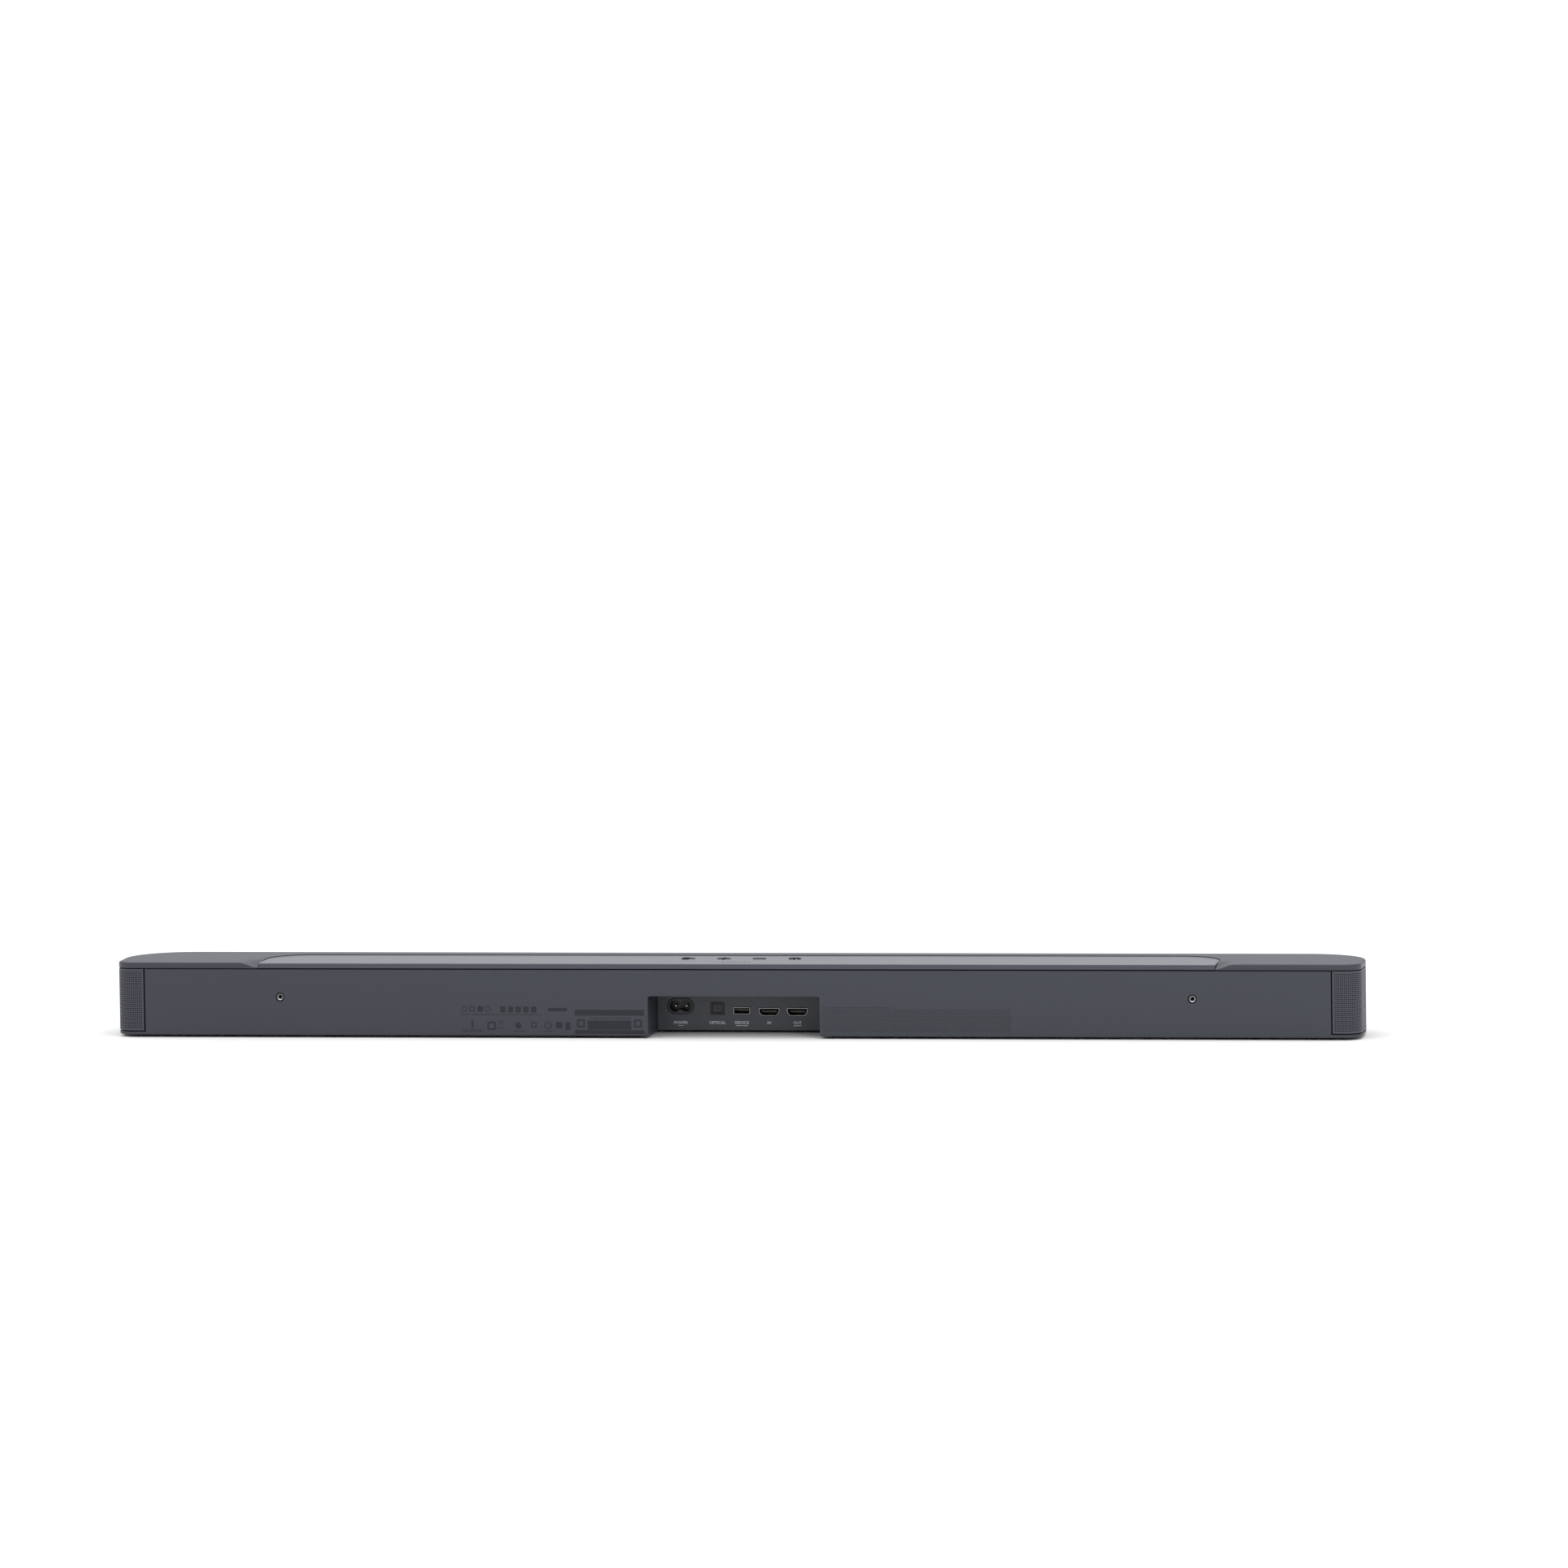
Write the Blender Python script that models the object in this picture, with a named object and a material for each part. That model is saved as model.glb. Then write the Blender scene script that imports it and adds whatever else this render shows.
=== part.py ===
"""A long low soundbar: wrap-round grille, inlaid top deck with four push keys, rear connector bay.

Metres, +Z up.  The origin is the middle of the footprint, on the surface that the feet stand on.
The listening side faces -Y, the connector bay opens towards +Y and downwards, and the bar runs
along X.  Every piece is one object with one closed body, and pieces that meet keep GAP between them.
"""

import math

import bmesh
import bpy
from mathutils import Vector

# ---------------------------------------------------------------- driving dimensions: the case
WIDTH = 0.965
DEPTH = 0.085
HEIGHT = 0.058
REAR_CORNER = 0.013
FRONT_CORNER = 0.048
WALL = 0.0025
GAP = 0.0003
FOOT_HEIGHT = 0.0018
FOOT_SINK = 0.0012
FOOT_LENGTH = 0.030
FOOT_DEPTH = 0.056
FOOT_FROM_END = 0.1025
COVER_THICKNESS = 0.0045
COVER_ROUNDING = 0.0018
BASE_ROUNDING = 0.0012
TOP_SEAM = 0.0008
END_WRAP = 0.0220
END_SEAM = 0.0012

# ---------------------------------------------------------------- driving dimensions: deck and keys
CAP_LENGTH = 0.1115
DECK_DEPTH = 0.0665
DECK_CORNER = 0.034
DECK_THICKNESS = 0.0024
DECK_DROP = 0.0005
DECK_ROUNDING = 0.0010
DECK_LIP = 0.0022
SCOOP_LENGTH = 0.0150
SCOOP_REACH = 0.0300
SCOOP_SINK = 0.0036
KEY_PITCH = 0.0276
KEY_FLANGE = 0.0134
KEY_FLANGE_THICKNESS = 0.0009
KEY_RISE = 0.0005
KEY_TRAVEL = 0.0006
KEY_EDGE = 0.0002
KEY_CLEARANCE = 0.00025
KEY_WINDOW_CLEARANCE = 0.0008
SWITCH_SIZE = 0.0060
SWITCH_HEIGHT = 0.0035
SWITCH_PLUNGER = 0.0011

# ---------------------------------------------------------------- driving dimensions: grille, frames
GRILLE_THICKNESS = 0.0012
GRILLE_LIFT = 0.0010
FRAME_CLEARANCE = 0.0004
FRAME_THICKNESS = 0.0022
FRAME_OVERLAP = 0.0085
FRAME_SWEEP = 80.0
BAFFLE_SETBACK = 0.0095
BAFFLE_THICKNESS = 0.0025
BAFFLE_FROM_END = 0.0445

# ---------------------------------------------------------------- driving dimensions: connector bay
BAY_WIDTH = 0.1334
BAY_DEPTH = 0.0435
BAY_HEIGHT = 0.0309
BAY_CORNER = 0.0020
PANEL_THICKNESS = 0.0020
SOCKET_DEPTH = 0.0130
SOCKET_PROUD = 0.0004
INLET_X = 0.0484
INLET_LIFT = 0.0189
INLET_WIDTH = 0.0206
INLET_HEIGHT = 0.0118
INLET_BARREL = 0.0042
INLET_WAIST = 0.0052
PIN_SPACING = 0.0086
PIN_RADIUS = 0.0012
PIN_LENGTH = 0.0090
OPTICAL_X = 0.0197
OPTICAL_LIFT = 0.0172
OPTICAL_WIDTH = 0.0102
OPTICAL_HEIGHT = 0.0092
OPTICAL_WALL = 0.0010
SHUTTER_THICKNESS = 0.0007
SHUTTER_INSET = 0.0008
SERVICE_X = 0.0007
SERVICE_LIFT = 0.0153
SERVICE_WIDTH = 0.0132
SERVICE_HEIGHT = 0.0056
SHELL_WALL = 0.0005
VIDEO_IN_X = -0.0206
VIDEO_OUT_X = -0.0426
VIDEO_LIFT = 0.0145
VIDEO_WIDTH = 0.0162
VIDEO_HEIGHT = 0.0062
TONGUE_THICKNESS = 0.0011

# ---------------------------------------------------------------- driving dimensions: drive units
OUTER_DRIVER_FROM_END = 0.1625
INNER_DRIVER_X = 0.1100
DRIVER_WIDTH = 0.0920
DRIVER_EDGE = 0.0021
DRIVER_FLANGE = 0.0035
DRIVER_FLANGE_THICKNESS = 0.0020
BASKET_DEPTH = 0.0180
BASKET_BACK_WIDTH = 0.0420
BASKET_TAPER = 0.0020
BASKET_WALL = 0.0020
MOTOR_RADIUS = 0.0180
MOTOR_LENGTH = 0.0110
COIL_RADIUS = 0.0075
COIL_WALL = 0.0002
COIL_CLEARANCE = 0.0005
COIL_LENGTH = 0.0160
CONE_THICKNESS = 0.0006
CONE_MARGIN = 0.0020
ROLL_RADIUS = 0.0026
ROLL_THICKNESS = 0.0006
TWEETER_FROM_END = 0.0805
TWEETER_RADIUS = 0.0190
TWEETER_CHAMBER = 0.0150
TWEETER_DEPTH = 0.0150
DOME_RADIUS = 0.0129
DOME_HEIGHT = 0.0036

# ---------------------------------------------------------------- driving dimensions: mounts, electronics
INSERT_FROM_END = 0.1287
INSERT_LIFT = 0.0296
INSERT_RADIUS = 0.0032
INSERT_BORE = 0.00175
INSERT_LENGTH = 0.0100
INSERT_SINK = 0.0006
BOSS_WALL = 0.0020
SCREW_HEAD_RADIUS = 0.0029
SCREW_HEAD_HEIGHT = 0.0015
SCREW_RADIUS = 0.0013
SCREW_LENGTH = 0.0130
SCREW_SINK = 0.0023
SCREW_FROM_REAR = 0.0145
OUTER_SCREW_FROM_END = 0.0425
INNER_SCREW_FROM_BAY = 0.0110
POST_RADIUS = 0.0033
BOARD_THICKNESS = 0.0016
BOARD_LIFT = 0.0072
BOARD_LENGTH = 0.0960
BOARD_FRONT_MARGIN = 0.0050
BOARD_REAR_MARGIN = 0.0045
STANDOFF_RADIUS = 0.0025
DISPLAY_WIDTH = 0.0700
DISPLAY_HEIGHT = 0.0220
DISPLAY_LENS_MARGIN = 0.0030
DISPLAY_LENS_THICKNESS = 0.0024

# ---------------------------------------------------------------- places worked out from those sizes
HALF_WIDTH = WIDTH / 2
REAR_Y = DEPTH / 2
FRONT_Y = -DEPTH / 2
BASE_Z = FOOT_HEIGHT
FLOOR_TOP = BASE_Z + WALL
COVER_Z = HEIGHT - COVER_THICKNESS
WALL_TOP = COVER_Z - TOP_SEAM
DECK_TOP = HEIGHT - DECK_DROP
DECK_HALF = HALF_WIDTH - CAP_LENGTH
DECK_FRONT = REAR_Y - DECK_DEPTH
DECK_UNDER = DECK_TOP - DECK_THICKNESS
LEDGE_TOP = DECK_UNDER - GAP
SEAM_X = HALF_WIDTH - END_WRAP
WALL_HALF = SEAM_X - END_SEAM / 2
GRILLE_END = SEAM_X + END_SEAM / 2
FRAME_INSET = WALL + FRAME_CLEARANCE
BAFFLE_FRONT = FRONT_Y + BAFFLE_SETBACK
BAFFLE_BACK = BAFFLE_FRONT + BAFFLE_THICKNESS
BAFFLE_HALF = HALF_WIDTH - BAFFLE_FROM_END
BAFFLE_LOW = FLOOR_TOP + GAP
BAFFLE_HIGH = COVER_Z - GAP
MID_Z = (FLOOR_TOP + COVER_Z) / 2
DRIVER_HEIGHT = COVER_Z - FLOOR_TOP - 2 * DRIVER_EDGE
OUTER_DRIVER_X = HALF_WIDTH - OUTER_DRIVER_FROM_END
TWEETER_X = HALF_WIDTH - TWEETER_FROM_END
NECK_HEIGHT = DRIVER_HEIGHT - 2 * DRIVER_FLANGE
BASKET_BACK_HEIGHT = NECK_HEIGHT - 2 * BASKET_TAPER
FLANGE_BACK = BAFFLE_FRONT - GAP
FLANGE_FRONT = FLANGE_BACK - DRIVER_FLANGE_THICKNESS
BASKET_BACK = FLANGE_BACK + BASKET_DEPTH
BAY_HALF = BAY_WIDTH / 2
BAY_TOP = BASE_Z + BAY_HEIGHT
PANEL_FRONT = REAR_Y - BAY_DEPTH
PANEL_BACK = PANEL_FRONT - PANEL_THICKNESS
SOCKET_FRONT = PANEL_FRONT + SOCKET_PROUD
SOCKET_BACK = PANEL_BACK - SOCKET_DEPTH
KEY_FLANGE_TOP = DECK_UNDER - GAP
KEY_FLANGE_LOW = KEY_FLANGE_TOP - KEY_FLANGE_THICKNESS
SWITCH_TOP = KEY_FLANGE_LOW - KEY_TRAVEL - GAP
BUTTON_BOARD_TOP = SWITCH_TOP - SWITCH_HEIGHT
SCREW_Y = REAR_Y - SCREW_FROM_REAR
SCREW_HEAD_Z = BASE_Z + SCREW_SINK
SCREW_BOSS_TOP = SCREW_HEAD_Z + SCREW_HEAD_HEIGHT + WALL
POST_LOW = SCREW_BOSS_TOP + GAP
BOARD_Z = BASE_Z + BOARD_LIFT
BOARD_X = (INNER_DRIVER_X + OUTER_DRIVER_X) / 2
BOARD_FRONT = BAFFLE_BACK + BOARD_FRONT_MARGIN
BOARD_REAR = REAR_Y - WALL - BOARD_REAR_MARGIN
BOARD_Y = (BOARD_FRONT + BOARD_REAR) / 2
INSERT_X = HALF_WIDTH - INSERT_FROM_END
INSERT_Z = BASE_Z + INSERT_LIFT
FOOT_X = HALF_WIDTH - FOOT_FROM_END
SIDES = (("left", 1), ("right", -1))

# ---------------------------------------------------------------- finishes: colour, roughness, metallic
FINISHES = {
    "shell_plastic": ((0.082, 0.086, 0.100), 0.55, 0.0),
    "deck_plastic": ((0.120, 0.125, 0.142), 0.38, 0.0),
    "grille_metal": ((0.075, 0.078, 0.090), 0.50, 0.3),
    "inner_black": ((0.012, 0.012, 0.013), 0.70, 0.0),
    "bay_plastic": ((0.062, 0.064, 0.074), 0.60, 0.0),
    "key_rubber": ((0.020, 0.021, 0.024), 0.80, 0.0),
    "socket_black": ((0.010, 0.010, 0.011), 0.35, 0.0),
    "plated_steel": ((0.520, 0.520, 0.510), 0.28, 1.0),
    "black_steel": ((0.045, 0.046, 0.050), 0.38, 1.0),
    "board_green": ((0.015, 0.070, 0.035), 0.50, 0.0),
    "ferrite": ((0.030, 0.030, 0.032), 0.60, 0.1),
    "aluminium": ((0.600, 0.610, 0.620), 0.35, 1.0),
    "capacitor_sleeve": ((0.020, 0.035, 0.110), 0.40, 0.0),
    "paper_cone": ((0.022, 0.022, 0.023), 0.85, 0.0),
    "rubber": ((0.015, 0.015, 0.016), 0.75, 0.0),
    "silk_dome": ((0.030, 0.030, 0.032), 0.65, 0.0),
    "smoked_lens": ((0.020, 0.010, 0.010), 0.12, 0.0),
    "zinc_steel": ((0.420, 0.420, 0.430), 0.40, 1.0),
}


# ---------------------------------------------------------------- outlines
def arc(centre, radius, start, end, steps):
    """Points on a circle's arc, with both ends, from start to end degrees."""
    points = []
    for index in range(steps + 1):
        angle = math.radians(start + (end - start) * index / steps)
        points.append((centre[0] + radius * math.cos(angle), centre[1] + radius * math.sin(angle)))
    return points


def rectangle(width, height, centre=(0.0, 0.0)):
    """A rectangle's corners, anticlockwise."""
    x, y = centre
    w, h = width / 2, height / 2
    return [(x - w, y - h), (x + w, y - h), (x + w, y + h), (x - w, y + h)]


def rounded_rectangle(width, height, radius, centre=(0.0, 0.0), steps=4):
    """A rectangle with four equal round corners, anticlockwise."""
    x, y = centre
    w, h = width / 2 - radius, height / 2 - radius
    points = arc((x + w, y + h), radius, 0, 90, steps)
    points += arc((x - w, y + h), radius, 90, 180, steps)
    points += arc((x - w, y - h), radius, 180, 270, steps)
    points += arc((x + w, y - h), radius, 270, 360, steps)
    return points


def racetrack(width, height, steps=7):
    """Two half circles joined by straight sides; with equal sizes it is a circle."""
    radius = height / 2
    reach = (width - height) / 2
    return arc((reach, 0), radius, -90, 90, steps) + arc((-reach, 0), radius, 90, 270, steps)


def circle(radius, centre=(0.0, 0.0), steps=16):
    """A regular polygon that stands for a circle."""
    return arc(centre, radius, 0, 360 - 360 / steps, steps - 1)


def grown(points, distance):
    """The outline moved outwards by distance, with mitred corners."""
    moved = []
    count = len(points)
    for index in range(count):
        before = Vector(points[index - 1])
        here = Vector(points[index])
        after = Vector(points[(index + 1) % count])
        first = (here - before).normalized()
        second = (after - here).normalized()
        normal_one = Vector((first.y, -first.x))
        normal_two = Vector((second.y, -second.x))
        step = (normal_one + normal_two) / (1 + normal_one.dot(normal_two))
        moved.append(tuple(here + step * distance))
    return moved


def plan_outline(inset=0.0):
    """The bar seen from above: tight corners at the back, wide ones at the front."""
    rear, front = REAR_CORNER - inset, FRONT_CORNER - inset
    half_width, half_depth = HALF_WIDTH - inset, DEPTH / 2 - inset
    points = arc((half_width - rear, half_depth - rear), rear, 0, 90, 5)
    points += arc((rear - half_width, half_depth - rear), rear, 90, 180, 5)
    points += arc((front - half_width, front - half_depth), front, 180, 270, 10)
    points += arc((half_width - front, front - half_depth), front, 270, 360, 10)
    return points


def end_path(inset, start_x, sweep):
    """From the rear seam round the +X end, and through sweep degrees of its front corner."""
    rear, front = REAR_CORNER - inset, FRONT_CORNER - inset
    half_width, half_depth = HALF_WIDTH - inset, DEPTH / 2 - inset
    points = [(start_x, half_depth)]
    points += arc((half_width - rear, half_depth - rear), rear, 90, 0, 5)
    points += arc((half_width - front, front - half_depth), front, 0, -sweep, 10)
    return points


def mirrored(points):
    """The same outline on the other side of the YZ plane, in the opposite order."""
    return [(-x, y) for x, y in reversed(points)]


def deck_outline(rear_extra=0.0):
    """The inlaid deck: wide round corners at the front, square ones on the rear edge."""
    turn = DECK_HALF - DECK_CORNER
    points = [(DECK_HALF, REAR_Y + rear_extra), (-DECK_HALF, REAR_Y + rear_extra)]
    points += arc((-turn, DECK_FRONT + DECK_CORNER), DECK_CORNER, 180, 270, 8)
    points += arc((turn, DECK_FRONT + DECK_CORNER), DECK_CORNER, 270, 360, 8)
    return points


def bay_outline():
    """The connector bay's mouth in X and Z, with round upper corners and an open foot."""
    low, turn = -BASE_Z, BAY_TOP - BAY_CORNER
    side = BAY_HALF - BAY_CORNER
    points = [(-BAY_HALF, low), (BAY_HALF, low)]
    points += arc((side, turn), BAY_CORNER, 0, 90, 4)
    points += arc((-side, turn), BAY_CORNER, 90, 180, 4)
    return points


def panel_outline():
    """The port panel: the bay's mouth less a gap, down to the underside of the case."""
    low = BASE_Z + GAP
    return [(x, max(z, low)) for x, z in grown(bay_outline(), -GAP)]


def video_outline():
    """A video socket's mouth: a flat slot with its two lower corners cut away."""
    w, h = VIDEO_WIDTH / 2, VIDEO_HEIGHT / 2
    cut = VIDEO_HEIGHT * 0.4
    return [(-w + cut, -h), (w - cut, -h), (w, -h + cut), (w, h), (-w, h), (-w, -h + cut)]


def icon_outlines(kind):
    """The raised strokes of one key, as seen by someone standing in front of the bar."""
    if kind == "minus":
        return [rectangle(0.0100, 0.0018)]
    if kind == "plus":
        a, w = 0.0050, 0.0009
        return [[(-a, -w), (-w, -w), (-w, -a), (w, -a), (w, -w), (a, -w),
                 (a, w), (w, w), (w, a), (-w, a), (-w, w), (-a, w)]]
    if kind == "power":
        ring = arc((0, 0), 0.0047, 130, 410, 18) + arc((0, 0), 0.0032, 410, 130, 18)
        return [ring, rectangle(0.0014, 0.0042, (0, 0.0034))]
    bracket = [(-0.0004, 0.0030), (0.0034, 0.0030), (0.0034, -0.0030), (-0.0004, -0.0030),
               (-0.0004, -0.0044), (0.0048, -0.0044), (0.0048, 0.0044), (-0.0004, 0.0044)]
    arrow = [(-0.0050, -0.0007), (-0.0010, -0.0007), (-0.0010, -0.0021), (0.0020, 0),
             (-0.0010, 0.0021), (-0.0010, 0.0007), (-0.0050, 0.0007)]
    return [bracket, arrow]


# ---------------------------------------------------------------- meshes
def loft(rings, closed=False):
    """A skin over a row of rings; a ring of one point is a pole, and open ends are capped."""
    mesh = bmesh.new()
    rows = [[mesh.verts.new(point) for point in ring] for ring in rings]
    pairs = list(zip(rows, rows[1:]))
    if closed:
        pairs.append((rows[-1], rows[0]))
    for first, second in pairs:
        count = max(len(first), len(second))
        for index in range(count):
            after = (index + 1) % count
            if len(first) == 1:
                mesh.faces.new((first[0], second[index], second[after]))
            elif len(second) == 1:
                mesh.faces.new((first[index], second[0], first[after]))
            else:
                mesh.faces.new((first[index], second[index], second[after], first[after]))
    if not closed:
        for row in (rows[0], rows[-1]):
            if len(row) > 2:
                mesh.faces.new(row)
    bmesh.ops.recalc_face_normals(mesh, faces=mesh.faces)
    return mesh


def upright(points, low, high):
    """An outline in X and Y carried from low to high along Z."""
    return loft([[(x, y, low) for x, y in points], [(x, y, high) for x, y in points]])


def across(points, low, high, centre=(0.0, 0.0)):
    """An outline in X and Z, about centre, carried from low to high along Y."""
    cx, cz = centre
    rings = [[(cx + x, depth, cz + z) for x, z in points] for depth in (low, high)]
    return loft(rings)


def layers(points, levels):
    """An outline in X and Y stacked at (height, inset) levels."""
    return loft([[(x, y, z) for x, y in grown(points, -inset)] for z, inset in levels])


def turned(profile, centre, axis_y=True, steps=18):
    """A (radius, along) profile spun about the Y axis, or about Z, through centre."""
    rings = []
    for radius, along in profile:
        if radius <= 0:
            ring = [(0.0, 0.0)]
        else:
            ring = circle(radius, steps=steps)
        if axis_y:
            rings.append([(centre[0] + u, along, centre[2] + v) for u, v in ring])
        else:
            rings.append([(centre[0] + u, centre[1] + v, along) for u, v in ring])
    return loft(rings)


def racetrack_rings(profile, centre):
    """Rings of (width, height, y) racetracks about an X and Z centre; zero width is a pole."""
    rings = []
    for width, height, depth in profile:
        outline = racetrack(width, height) if width > 0 else [(0.0, 0.0)]
        rings.append([(centre[0] + u, depth, centre[1] + v) for u, v in outline])
    return rings


def block(low, high):
    """A box between two corners."""
    corners = [(low[0], low[1]), (high[0], low[1]), (high[0], high[1]), (low[0], high[1])]
    return upright(corners, low[2], high[2])


def together(meshes):
    """Several meshes in one, without joining their bodies."""
    result = bmesh.new()
    for mesh in meshes:
        moved = {vert: result.verts.new(vert.co) for vert in mesh.verts}
        for face in mesh.faces:
            result.faces.new([moved[vert] for vert in face.verts])
        mesh.free()
    return result


def rounding(low, high, radius, steps=3):
    """Levels for a slab whose upper edge is a quarter round, as (height, inset) pairs."""
    levels = [(low, 0.0)]
    for index in range(steps + 1):
        angle = math.radians(90 * index / steps)
        levels.append((high - radius + radius * math.sin(angle), radius - radius * math.cos(angle)))
    return levels


# ---------------------------------------------------------------- objects
def clear_scene():
    """Remove every object that the opened file holds."""
    for thing in list(bpy.data.objects):
        bpy.data.objects.remove(thing, do_unlink=True)


def finish_material(name):
    """The material of one named finish, made once."""
    known = bpy.data.materials.get(name)
    if known:
        return known
    colour, roughness, metallic = FINISHES[name]
    material = bpy.data.materials.new(name)
    material.use_nodes = True
    shader = material.node_tree.nodes["Principled BSDF"]
    shader.inputs["Base Color"].default_value = (*colour, 1.0)
    shader.inputs["Roughness"].default_value = roughness
    shader.inputs["Metallic"].default_value = metallic
    return material


def piece(name, mesh, finish, origin=(0.0, 0.0, 0.0), sharp=35.0):
    """One sub-part: its mesh is stored about origin, where the object stands."""
    bmesh.ops.translate(mesh, verts=mesh.verts, vec=-Vector(origin))
    data = bpy.data.meshes.new(name)
    mesh.to_mesh(data)
    mesh.free()
    data.shade_smooth()
    data.set_sharp_from_angle(angle=math.radians(sharp))
    data.materials.append(finish_material(finish))
    thing = bpy.data.objects.new(name, data)
    thing.location = origin
    bpy.context.scene.collection.objects.link(thing)
    return thing


def reshape(thing, operation, label, mesh):
    """Join a tool mesh to a piece, or cut it away, with an exact Boolean."""
    data = bpy.data.meshes.new(f"{thing.name}_{label}")
    mesh.to_mesh(data)
    mesh.free()
    tool = bpy.data.objects.new(f"{thing.name}_{label}", data)
    tool.hide_render = True
    tool.display_type = "WIRE"
    bpy.context.scene.collection.objects.link(tool)
    modifier = thing.modifiers.new(label, "BOOLEAN")
    modifier.operation = operation
    modifier.object = tool
    return modifier


# ---------------------------------------------------------------- the case
def screw_spots():
    """Where the four case screws stand, in X and Y."""
    outer = HALF_WIDTH - OUTER_SCREW_FROM_END
    inner = BAY_HALF + INNER_SCREW_FROM_BAY
    return [(side * x, SCREW_Y) for x in (outer, inner) for _, side in SIDES]


def board_standoffs():
    """Where the boards' standoffs rise from the floor, in X and Y."""
    reach = BOARD_LENGTH / 2 - 2 * STANDOFF_RADIUS
    rear = BOARD_REAR - 2 * STANDOFF_RADIUS
    spots = [(side * (BOARD_X + end * reach), rear) for _, side in SIDES for end in (-1, 1)]
    port_y = (BAFFLE_BACK + PANEL_BACK) / 2
    return spots + [(side * (BAY_HALF - 0.036), port_y) for _, side in SIDES]


def make_rear_housing():
    """The tray: floor, rear wall, the bay's hood, mounting bosses, standoffs and foot recesses."""
    levels = [(FLOOR_TOP, 0.0), (BASE_Z + BASE_ROUNDING, 0.0)]
    levels += [(BASE_Z + BASE_ROUNDING * 0.3, BASE_ROUNDING * 0.3), (BASE_Z, BASE_ROUNDING)]
    housing = piece("rear_housing", layers(plan_outline(), levels), "shell_plastic")
    root = BASE_Z + BASE_ROUNDING + 0.0002
    wall = block((-WALL_HALF, REAR_Y - WALL, root), (WALL_HALF, REAR_Y, WALL_TOP))
    reshape(housing, "UNION", "wall", wall)
    hood_half = BAY_HALF + WALL
    hood_front = PANEL_BACK - GAP
    hood = block((-hood_half, hood_front, root), (hood_half, REAR_Y - WALL / 2, BAY_TOP + WALL))
    reshape(housing, "UNION", "hood", hood)
    boss = INSERT_RADIUS + GAP + BOSS_WALL
    boss_end = REAR_Y - INSERT_SINK - INSERT_LENGTH - GAP - BOSS_WALL
    bosses = []
    for _, side in SIDES:
        rings = circle(boss, (side * INSERT_X, INSERT_Z))
        bosses.append(across(rings, boss_end, REAR_Y - WALL / 2))
    for x, y in screw_spots():
        collar = SCREW_HEAD_RADIUS + GAP + BOSS_WALL
        bosses.append(upright(circle(collar, (x, y), 12), root, SCREW_BOSS_TOP))
    for x, y in board_standoffs():
        bosses.append(upright(circle(STANDOFF_RADIUS, (x, y), 8), root, BOARD_Z - GAP))
    reshape(housing, "UNION", "bosses", together(bosses))
    reshape(housing, "DIFFERENCE", "bay", across(bay_outline(), hood_front - WALL, REAR_Y + WALL))
    holes = []
    for _, side in SIDES:
        bore = circle(INSERT_RADIUS + GAP, (side * INSERT_X, INSERT_Z))
        holes.append(across(bore, boss_end + BOSS_WALL, REAR_Y + WALL))
        recess = rounded_rectangle(FOOT_LENGTH, FOOT_DEPTH, 0.004, (side * FOOT_X, 0.0))
        holes.append(upright(grown(recess, GAP), -BASE_Z, BASE_Z + FOOT_SINK + GAP))
    for x, y in screw_spots():
        head = SCREW_HEAD_RADIUS + GAP
        shank = SCREW_RADIUS + GAP
        seat = SCREW_HEAD_Z + SCREW_HEAD_HEIGHT + GAP
        profile = [(0, -BASE_Z), (head, -BASE_Z), (head, seat), (shank, seat)]
        profile += [(shank, SCREW_BOSS_TOP + WALL), (0, SCREW_BOSS_TOP + WALL)]
        holes.append(turned(profile, (x, y, 0), axis_y=False, steps=12))
    reshape(housing, "DIFFERENCE", "holes", together(holes))


def scoop_tool(side):
    """A smooth hollow at the deck's rear corner, its deepest line along the deck's side."""
    rings = []
    steps = 8
    for index in range(steps + 1):
        angle = math.pi * index / steps
        height = HEIGHT - SCOOP_SINK * math.cos(angle)
        spread = math.sin(angle)
        if spread < 1e-6:
            rings.append([(side * DECK_HALF, REAR_Y, height)])
            continue
        ring = []
        for u, v in circle(spread, steps=28):
            ring.append((side * DECK_HALF + u * SCOOP_LENGTH, REAR_Y + v * SCOOP_REACH, height))
        rings.append(ring)
    return loft(rings)


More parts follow.
